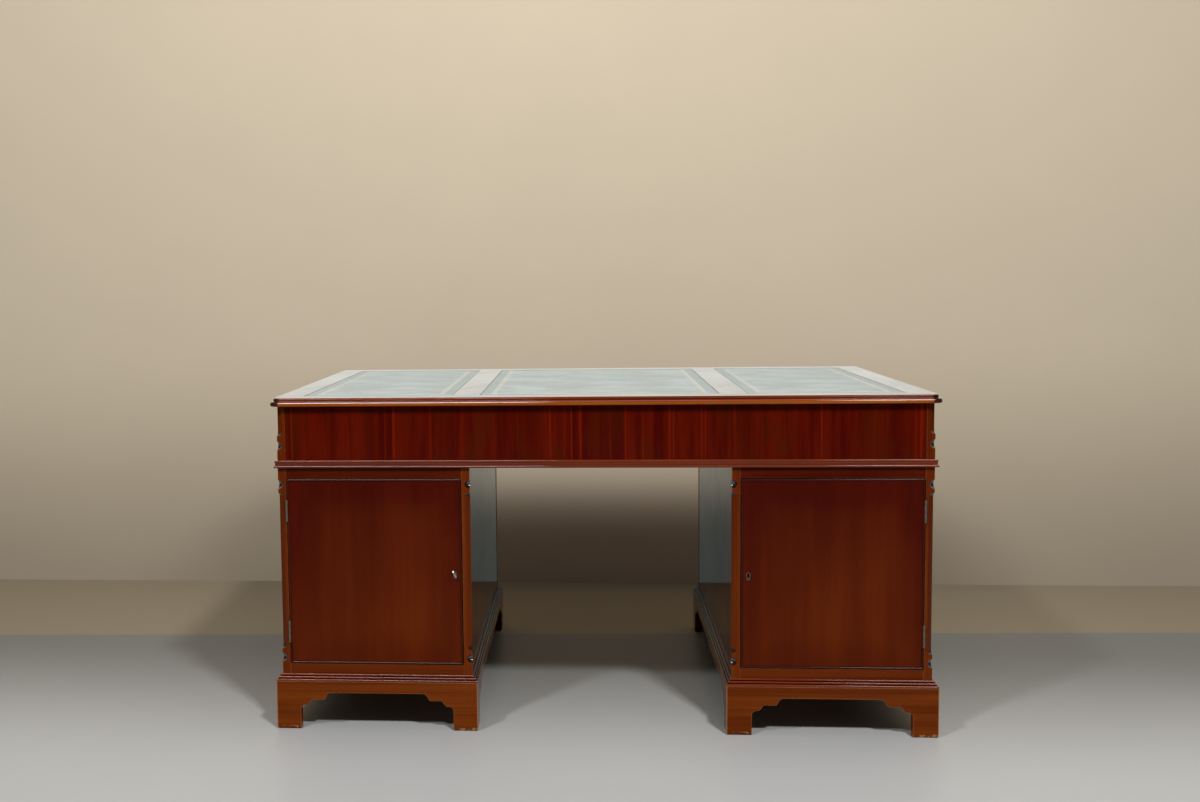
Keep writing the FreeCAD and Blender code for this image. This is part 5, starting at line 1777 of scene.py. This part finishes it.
@dataclass
class Drawer:
    """A drawer with its fittings and its drop handles."""

    finishes: Finishes
    name: str
    centre: float
    width: float
    low: float
    height: float
    length: float
    handles: dict[str, float]
    face: float = 441.5
    front: float = 19
    gap: float = 1
    lift: float = 0.2
    wall: float = 10
    floor: float = 6
    floor_lift: float = 8
    headroom: float = 6
    spread: float = 38
    rise: float = 12
    axis_out: float = 9
    keyhole_drop: float = 18

    def make(self) -> None:
        """Make the whole drawer."""
        self.box()
        self.fittings()
        self.bails()

    @property
    def half(self) -> float:
        """Half of the width of the front."""
        return self.width / 2 - self.gap

    @property
    def base(self) -> float:
        """The height of the drawer's underside."""
        return self.low + self.lift

    @property
    def top(self) -> float:
        """The height of the front's top edge."""
        return self.low + self.height - self.gap

    @property
    def handle_z(self) -> float:
        """The height of the handle's pins."""
        return self.low + self.height / 2 + self.rise

    def _tails(self) -> list[BMesh]:
        """The dovetails that show on the two ends of the front."""
        inner = self.face - self.front
        high = self.top - self.headroom
        count = max(3, round((high - self.base) / 32))
        pitch = (high - self.base) / count
        tails = []
        for side in (LEFT, RIGHT):
            for number in range(count):
                middle = self.base + pitch * (number + 0.5)
                x = sorted(self.centre + side * (self.half + out) for out in (-0.3, 0.08))
                rise = (middle - pitch * 0.3, middle + pitch * 0.3)
                tail = spans(x, (inner, inner + 13), rise, 0)
                for vert in tail.verts:
                    if vert.co.y > inner + 1:
                        vert.co.z = middle + (vert.co.z - middle) * 1.35
                tails.append(tail)
        return tails

    def box(self) -> None:
        """Make the drawer: front with its bead, sides, back and bottom."""
        piece = Piece(f"{self.name}_box")
        lining = self.finishes.lining
        back_of_front = self.face - self.front
        rear = self.face - self.length
        x = (self.centre - self.half, self.centre + self.half)
        front = spans(x, (back_of_front, self.face), (self.base, self.top), 0.35)
        hole = Keyhole().opening(self.centre, (self.face - 12, self.face + 1),
                                 self.low + self.height - self.keyhole_drop)
        piece.add(worked(front, [hole]), self.finishes.door, Grain.X)
        for shape, grain in BeadFrame(x, (self.base, self.top), self.face, BACK).strips():
            piece.add(shape, self.finishes.bead, grain, self.finishes.stain)
        high, floor = self.top - self.headroom, self.base + self.floor_lift
        for side in (LEFT, RIGHT):
            reaches = (self.half, self.half - self.wall)
            span = sorted(self.centre + side * reach for reach in reaches)
            piece.add(spans(span, (rear, back_of_front), (self.base, high), 0.8), lining, Grain.Y)
        wall = self.half - self.wall
        across = (self.centre - wall, self.centre + wall)
        laid = floor + self.floor
        piece.add(spans(across, (rear, back_of_front), (floor, laid), 0.3), lining)
        piece.add(spans(across, (rear, rear + self.wall), (laid, high), 0.8), lining)
        for tail in self._tails():
            piece.add(tail, lining, Grain.Y)
        piece.make(f"{self.name}_body", "drawer_wood", self.name)

    def fittings(self) -> None:
        """Make the keyhole's brass, the rosettes, the stems and their nuts."""
        piece = Piece(f"{self.name}_brasses")
        brass, y = self.finishes.brass, self.face
        stem = [(0, -0.5), (9.6, -0.5), (10, 0), (10, 0.7), (9.3, 1.4), (8.2, 1.5), (7.4, 1.05),
                (6.4, 1.05), (5.6, 1.5), (4.4, 2.6), (3.5, 4.2), (3.4, 4.8), (4.3, 6.0), (4.5, 8.6),
                (4.5, 10.0), (4.1, 11.6), (2.9, 12.6), (1.4, 12.95), (0, 13)]
        nut = [(0, 0), (5.2, 0), (6, 0.7), (6, 2.4), (5.4, 3), (0, 3)]
        for offset in self.handles.values():
            for side in (LEFT, RIGHT):
                x = self.centre + offset + side * self.spread
                shape = lathe(stem, (x, y, self.handle_z), "Y", 28)
                bore = rod(2.05, (x - 12, y + self.axis_out, self.handle_z), 24, "X", 16)
                piece.add(worked(shape, [bore]), brass)
                piece.add(lathe(nut, (x, y - self.front - 3, self.handle_z), "Y", 6), brass)
        keyhole_z = self.low + self.height - self.keyhole_drop
        piece.add(Keyhole().plate(self.centre, (y, y + 0.6), keyhole_z), brass)
        piece.make(f"{self.name}_body", "brass", f"{self.name}_fittings")

    def bails(self) -> None:
        """Make the drop handles: pins, legs, rounded corners and a swelled grip."""
        for suffix, offset in self.handles.items():
            middle, y, z = self.centre + offset, self.face + self.axis_out, self.handle_z
            bar = Bar((0, y, z - 34), 3.4)
            for share, scale in ((0.35, 0.96), (0.35, 0.86), (0.3, 2.2 / (3.4 * 0.96 * 0.86))):
                bar.straight((26 * share, 0, 0), scale)
            bar.bend((26, y, z - 14), 90, 7)
            bar.straight((0, 0, 11))
            bar.bend((43, y, z - 3), 90, 5)
            bar.straight((-2, 0, 0), 2.0 / 2.2)
            bar.straight((-5, 0, 0))
            shape = bar.close()
            start = [face for face in shape.faces if face.calc_center_median().x < 0.01]
            bmesh.ops.delete(shape, geom=start, context="FACES_ONLY")
            bmesh.ops.mirror(shape, geom=everything(shape), merge_dist=0.01, axis="X")
            bmesh.ops.remove_doubles(shape, verts=shape.verts[:], dist=0.005)
            move(outward(shape), (middle, 0, 0))
            piece = Piece(f"{self.name}_{suffix}_handle")
            piece.add(shape, self.finishes.brass)
            piece.make(f"{self.name}_{suffix}_body", "brass", f"{self.name}_{suffix}")


@dataclass
class Drawers:
    """All nine drawers, the rails between them and the runners under them."""

    finishes: Finishes
    frieze: Frieze
    inner: float = 317.5
    outer: float = 727.5
    centre_width: float = 597
    offset: float = 160
    frieze_row: Point = (635, 110, 520)
    rows: Sequence[Point] = ((472, 120, 430), (321, 135, 430), (153, 152, 430))
    rail_levels: Sequence[float] = (305, 456)
    rail: float = 16
    rail_y: Span = (381.5, 441.5)
    strips: Sequence[Span] = ((316.5, 346.5), (698.5, 728.5))
    partition_back: float = -8

    def make(self) -> None:
        """Make the drawers, the rails and the runners."""
        middle, width = (self.inner + self.outer) / 2, self.outer - self.inner
        Drawer(self.finishes, "centre_frieze_drawer", 0, self.centre_width, *self.frieze_row,
               {"left_bail": -self.offset, "right_bail": self.offset}).make()
        for side in Side:
            words = ("frieze", "top", "middle", "bottom")
            for word, row in zip(words, (self.frieze_row, *self.rows)):
                Drawer(self.finishes, f"{side.word}_{word}_drawer", side.value * middle, width,
                       *row, {"bail": 0.0}).make()
        rails, runners = Piece("drawer_frame_rails"), Piece("drawer_frame_runners")
        self.frieze.rails(rails)
        self.frieze.runners(runners)
        for side in Side:
            for low in self.rail_levels:
                rise = (low, low + self.rail)
                rails.add(spans(side.span(self.inner, self.outer), self.rail_y, rise, 0.4),
                          self.finishes.solid)
                for strip in self.strips:
                    y = (self.partition_back, self.rail_y[0])
                    runners.add(side.board(strip, y, rise), self.finishes.lining, Grain.Y)
        rails.make("carcass", "mahogany", "drawer_rails")
        runners.make("carcass", "drawer_wood", "drawer_runners")


# ---- the studio


AIM = (0.0, 0.0, 0.4)


@dataclass(frozen=True)
class Lamp:
    """A soft rectangular lamp that the camera doesn't see, and how the floor takes its light."""

    name: str
    at: Point
    to: Point
    size: Span
    watts: float
    floor: str = "EXCLUDE"
    colour: Colour = (1.0, 1.0, 1.0)

    def hang(self) -> Object:
        """Put the lamp in the scene."""
        lamp = bpy.data.lights.new(self.name, "AREA")
        lamp.shape = "RECTANGLE"
        lamp.size, lamp.size_y = self.size
        lamp.energy = self.watts
        lamp.color = self.colour
        thing = as_object(self.name, lamp)
        thing.location = self.at
        heading = Vector(self.to) - Vector(self.at)
        thing.rotation_euler = heading.to_track_quat("-Z", "Y").to_euler()
        thing.visible_camera = False
        return thing


@dataclass
class Studio:
    """The floor, the wall behind, the lamps and the camera."""

    floor_colour: Colour = (0.47, 0.475, 0.47)
    wall_colour: Colour = (0.62, 0.525, 0.39)
    world_colour: Colour = (0.085, 0.085, 0.08)
    wall_y: float = 1.0
    # How dark the wall's foot is painted: painted shade.
    painted_wall_shade: float = 0.62
    wall_clear: float = 0.85
    sweep_y: float = 0.37
    sweep_lean: float = 0.038
    # The strip's colour: the wall's colour darkened at its foot as painted shade.
    shaded_sweep_colour: Colour = (0.25, 0.205, 0.142)
    # How far the floor darkens under and behind the desk: painted shade.
    painted_floor_shade: float = 0.36
    floor_clear: Span = (-0.75, 0.30)
    lamps: Sequence[Lamp] = (
        Lamp("key_lamp", (-1.4, -3.1, 3.8), AIM, (2.4, 0.8), 150),
        Lamp("fill_lamp", (2.0, -2.9, 3.6), AIM, (1.6, 0.8), 92),
        Lamp("sky_lamp", (0.0, -0.5, 3.4), (0.0, -0.1, 0.0), (2.6, 1.6), 14, ""),
        Lamp("back_lamp", (0.0, 0.97, 1.08), (0.0, 0.0, 1.08), (3.6, 0.6), 5.0,
             colour=(0.80, 0.97, 1.0)),
        Lamp("knee_lamp", (0.0, 0.97, 0.26), (0.0, 0.0, 0.26), (0.9, 0.5), 0.09,
             colour=(0.6, 1.0, 1.0)),
        Lamp("rear_lamp", (0.6, 3.4, 1.7), AIM, (2.4, 1.6), 85),
        Lamp("left_floor_lamp", (-2.6, -3.6, 4.8), AIM, (0.5, 0.4), 140, "INCLUDE"),
        Lamp("right_floor_lamp", (1.6, -3.6, 4.6), AIM, (0.5, 0.4), 230, "INCLUDE"),
    )
    sensor: float = 36.0
    lens: float = 38.27
    shift: Span = (0.09698, -0.0181)
    sight: float = 60
    stand: Point = (-0.02808, -3.3371, 1.05205)
    yaw: float = 0.0808
    pitch: float = -0.0795
    roll: float = -0.0137

    def _tinted(self, graph: Graph, colour: Colour) -> tuple[NodeSocket, NodeSocket]:
        """A painted colour with faint unevenness, and the place where it is read."""
        place = graph.spot()
        cloud = graph.remap(graph.noise(place, 1.5, 3.0, 0.6), 0.35, 0.65)
        return graph.blend(cloud, dimmed(colour, 0.97), colour), place

    def _floor_paint(self) -> Material:
        """The floor: painted shade under and behind the desk, and its last strip in the wall's
        shaded colour.
        """
        material, graph = new_material("Floor paint")
        colour, place = self._tinted(graph, self.floor_colour)
        x, y, _ = graph.split(place)
        beyond = graph.less(y, graph.times(x, self.sweep_lean))
        wall = graph.remap(beyond, self.sweep_y - 0.002, self.sweep_y + 0.002)
        # Painted shade: the floor darkens from the front of the desk to behind it.
        far = graph.ramp(y, *self.floor_clear)
        colour = graph.blend(far, colour, (self.painted_floor_shade,) * 3, "MULTIPLY")
        # The last strip in the wall's colour, darkened: painted shade.
        colour = graph.blend(wall, colour, self.shaded_sweep_colour)
        graph.surface({"Base Color": colour, "Roughness": 0.38})
        return material

    def _wall_paint(self) -> Material:
        """The wall: painted shade toward the floor, and seen from its front side only."""
        material, graph = new_material("Wall paint")
        colour, place = self._tinted(graph, self.wall_colour)
        risen = graph.ramp(graph.split(place)[2], 0.0, self.wall_clear)
        # Painted shade: the wall darkens toward the floor.
        low = graph.blend(1.0, colour, (self.painted_wall_shade,) * 3, "MULTIPLY")
        paint = {"Base Color": graph.blend(risen, low, colour), "Roughness": 0.9}
        shaders = {0: graph.add("NewGeometry").outputs["Backfacing"],
                   1: graph.add("BsdfPrincipled", paint).outputs[0],
                   2: graph.add("BsdfTransparent").outputs[0]}
        graph.add("OutputMaterial", {0: graph.add("MixShader", shaders).outputs[0]})
        return material

    def _sheet(self, name: str, half: float, material: Material, turned: Euler,
               at: Point) -> Object:
        """A flat sheet for the floor or the wall, placed in its mesh."""
        shape = bmesh.new()
        bmesh.ops.create_grid(shape, x_segments=1, y_segments=1, size=half)
        matrix = Matrix.Translation(Vector(at)) @ turned.to_matrix().to_4x4()
        bmesh.ops.transform(shape, matrix=matrix, verts=shape.verts)
        mesh = as_mesh(shape, name)
        mesh.materials.append(material)
        thing = as_object(name, mesh)
        return thing

    def build(self) -> None:
        """Build the floor, the wall, the world, the lamps and the camera."""
        self.floor = self._sheet("floor", 9, self._floor_paint(), Euler((0, 0, 0)), (0, 0, 0))
        wall = self._sheet("wall", 6, self._wall_paint(), Euler((math.pi / 2, 0, 0)),
                           (0, self.wall_y, 6))
        wall.visible_shadow = False
        world = bpy.data.worlds.new("Surround")
        bpy.context.scene.world = world
        world.use_nodes = True
        background = world.node_tree.nodes["Background"].inputs
        background["Color"].default_value = (*self.world_colour, 1.0)
        background["Strength"].default_value = 1.0
        self.lit = [lamp.hang() for lamp in self.lamps]
        self._camera()

    def flag(self, shaded: Sequence[Object]) -> None:
        """Light the floor with its own two lamps, and shade some pieces from the rear lamp."""
        for lamp, thing in zip(self.lamps, self.lit):
            if not lamp.floor:
                continue
            group = bpy.data.collections.new(f"Flags of {lamp.name}")
            for piece in (self.floor, *(shaded if lamp.name == "rear_lamp" else ())):
                group.objects.link(piece)
            for entry in group.collection_objects:
                entry.light_linking.link_state = lamp.floor
            thing.light_linking.receiver_collection = group

    def _camera(self) -> None:
        """The camera, almost square to the cupboard side and a little above the top."""
        lens = bpy.data.cameras.new("camera")
        lens.sensor_width = self.sensor
        lens.lens = self.lens
        lens.shift_x, lens.shift_y = self.shift
        lens.clip_end = self.sight
        camera = as_object("camera", lens)
        turned = (Matrix.Rotation(self.yaw, 4, "Z") @ Matrix.Rotation(self.pitch, 4, "X")
                  @ Matrix.Rotation(-self.roll, 4, "Y") @ Matrix.Rotation(math.pi / 2, 4, "X"))
        camera.matrix_world = Matrix.Translation(self.stand) @ turned
        scene = bpy.context.scene
        scene.camera = camera
        scene.view_settings.view_transform = "Standard"


# ---- the whole desk


def main() -> None:
    """Build the studio and every piece in order, then set which pieces each lamp lights."""
    logging.basicConfig(level=logging.INFO, format="%(message)s")
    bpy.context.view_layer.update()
    finishes = Finishes()
    studio = Studio()
    studio.build()
    top = Top(finishes)
    top.board()
    top.leathers()
    frieze = Frieze(finishes)
    frieze.posts()
    frieze.panels()
    frieze.waist()
    frieze.underside()
    shelves, leaves = Piece("shelves_and_battens"), Piece("post_hinge_leaves")
    pins = Piece("turned_hinge_pins")
    for side in Side:
        cupboard = Cupboard(finishes, side)
        pedestal = Pedestal(finishes, side)
        pedestal.posts(cupboard.mortise())
        pedestal.panels()
        pedestal.boards()
        pedestal.plinth()
        pedestal.reeds()
        pedestal.add_shelf(shelves)
        cupboard.door()
        cupboard.door_leaves()
        cupboard.lock()
        cupboard.frame_leaves(leaves)
        cupboard.pins(pins)
    shelves.make("carcass", "drawer_wood", "cupboard_shelves")
    leaves.make("carcass", "brass", "hinge_frame_leaves")
    pins.make("carcass", "brass", "hinge_pins")
    Key(finishes).make()
    Drawers(finishes, frieze).make()
    studio.flag([bpy.data.objects[name] for name in UNLIT_FROM_BEHIND])


if __name__ == "__main__":
    main()
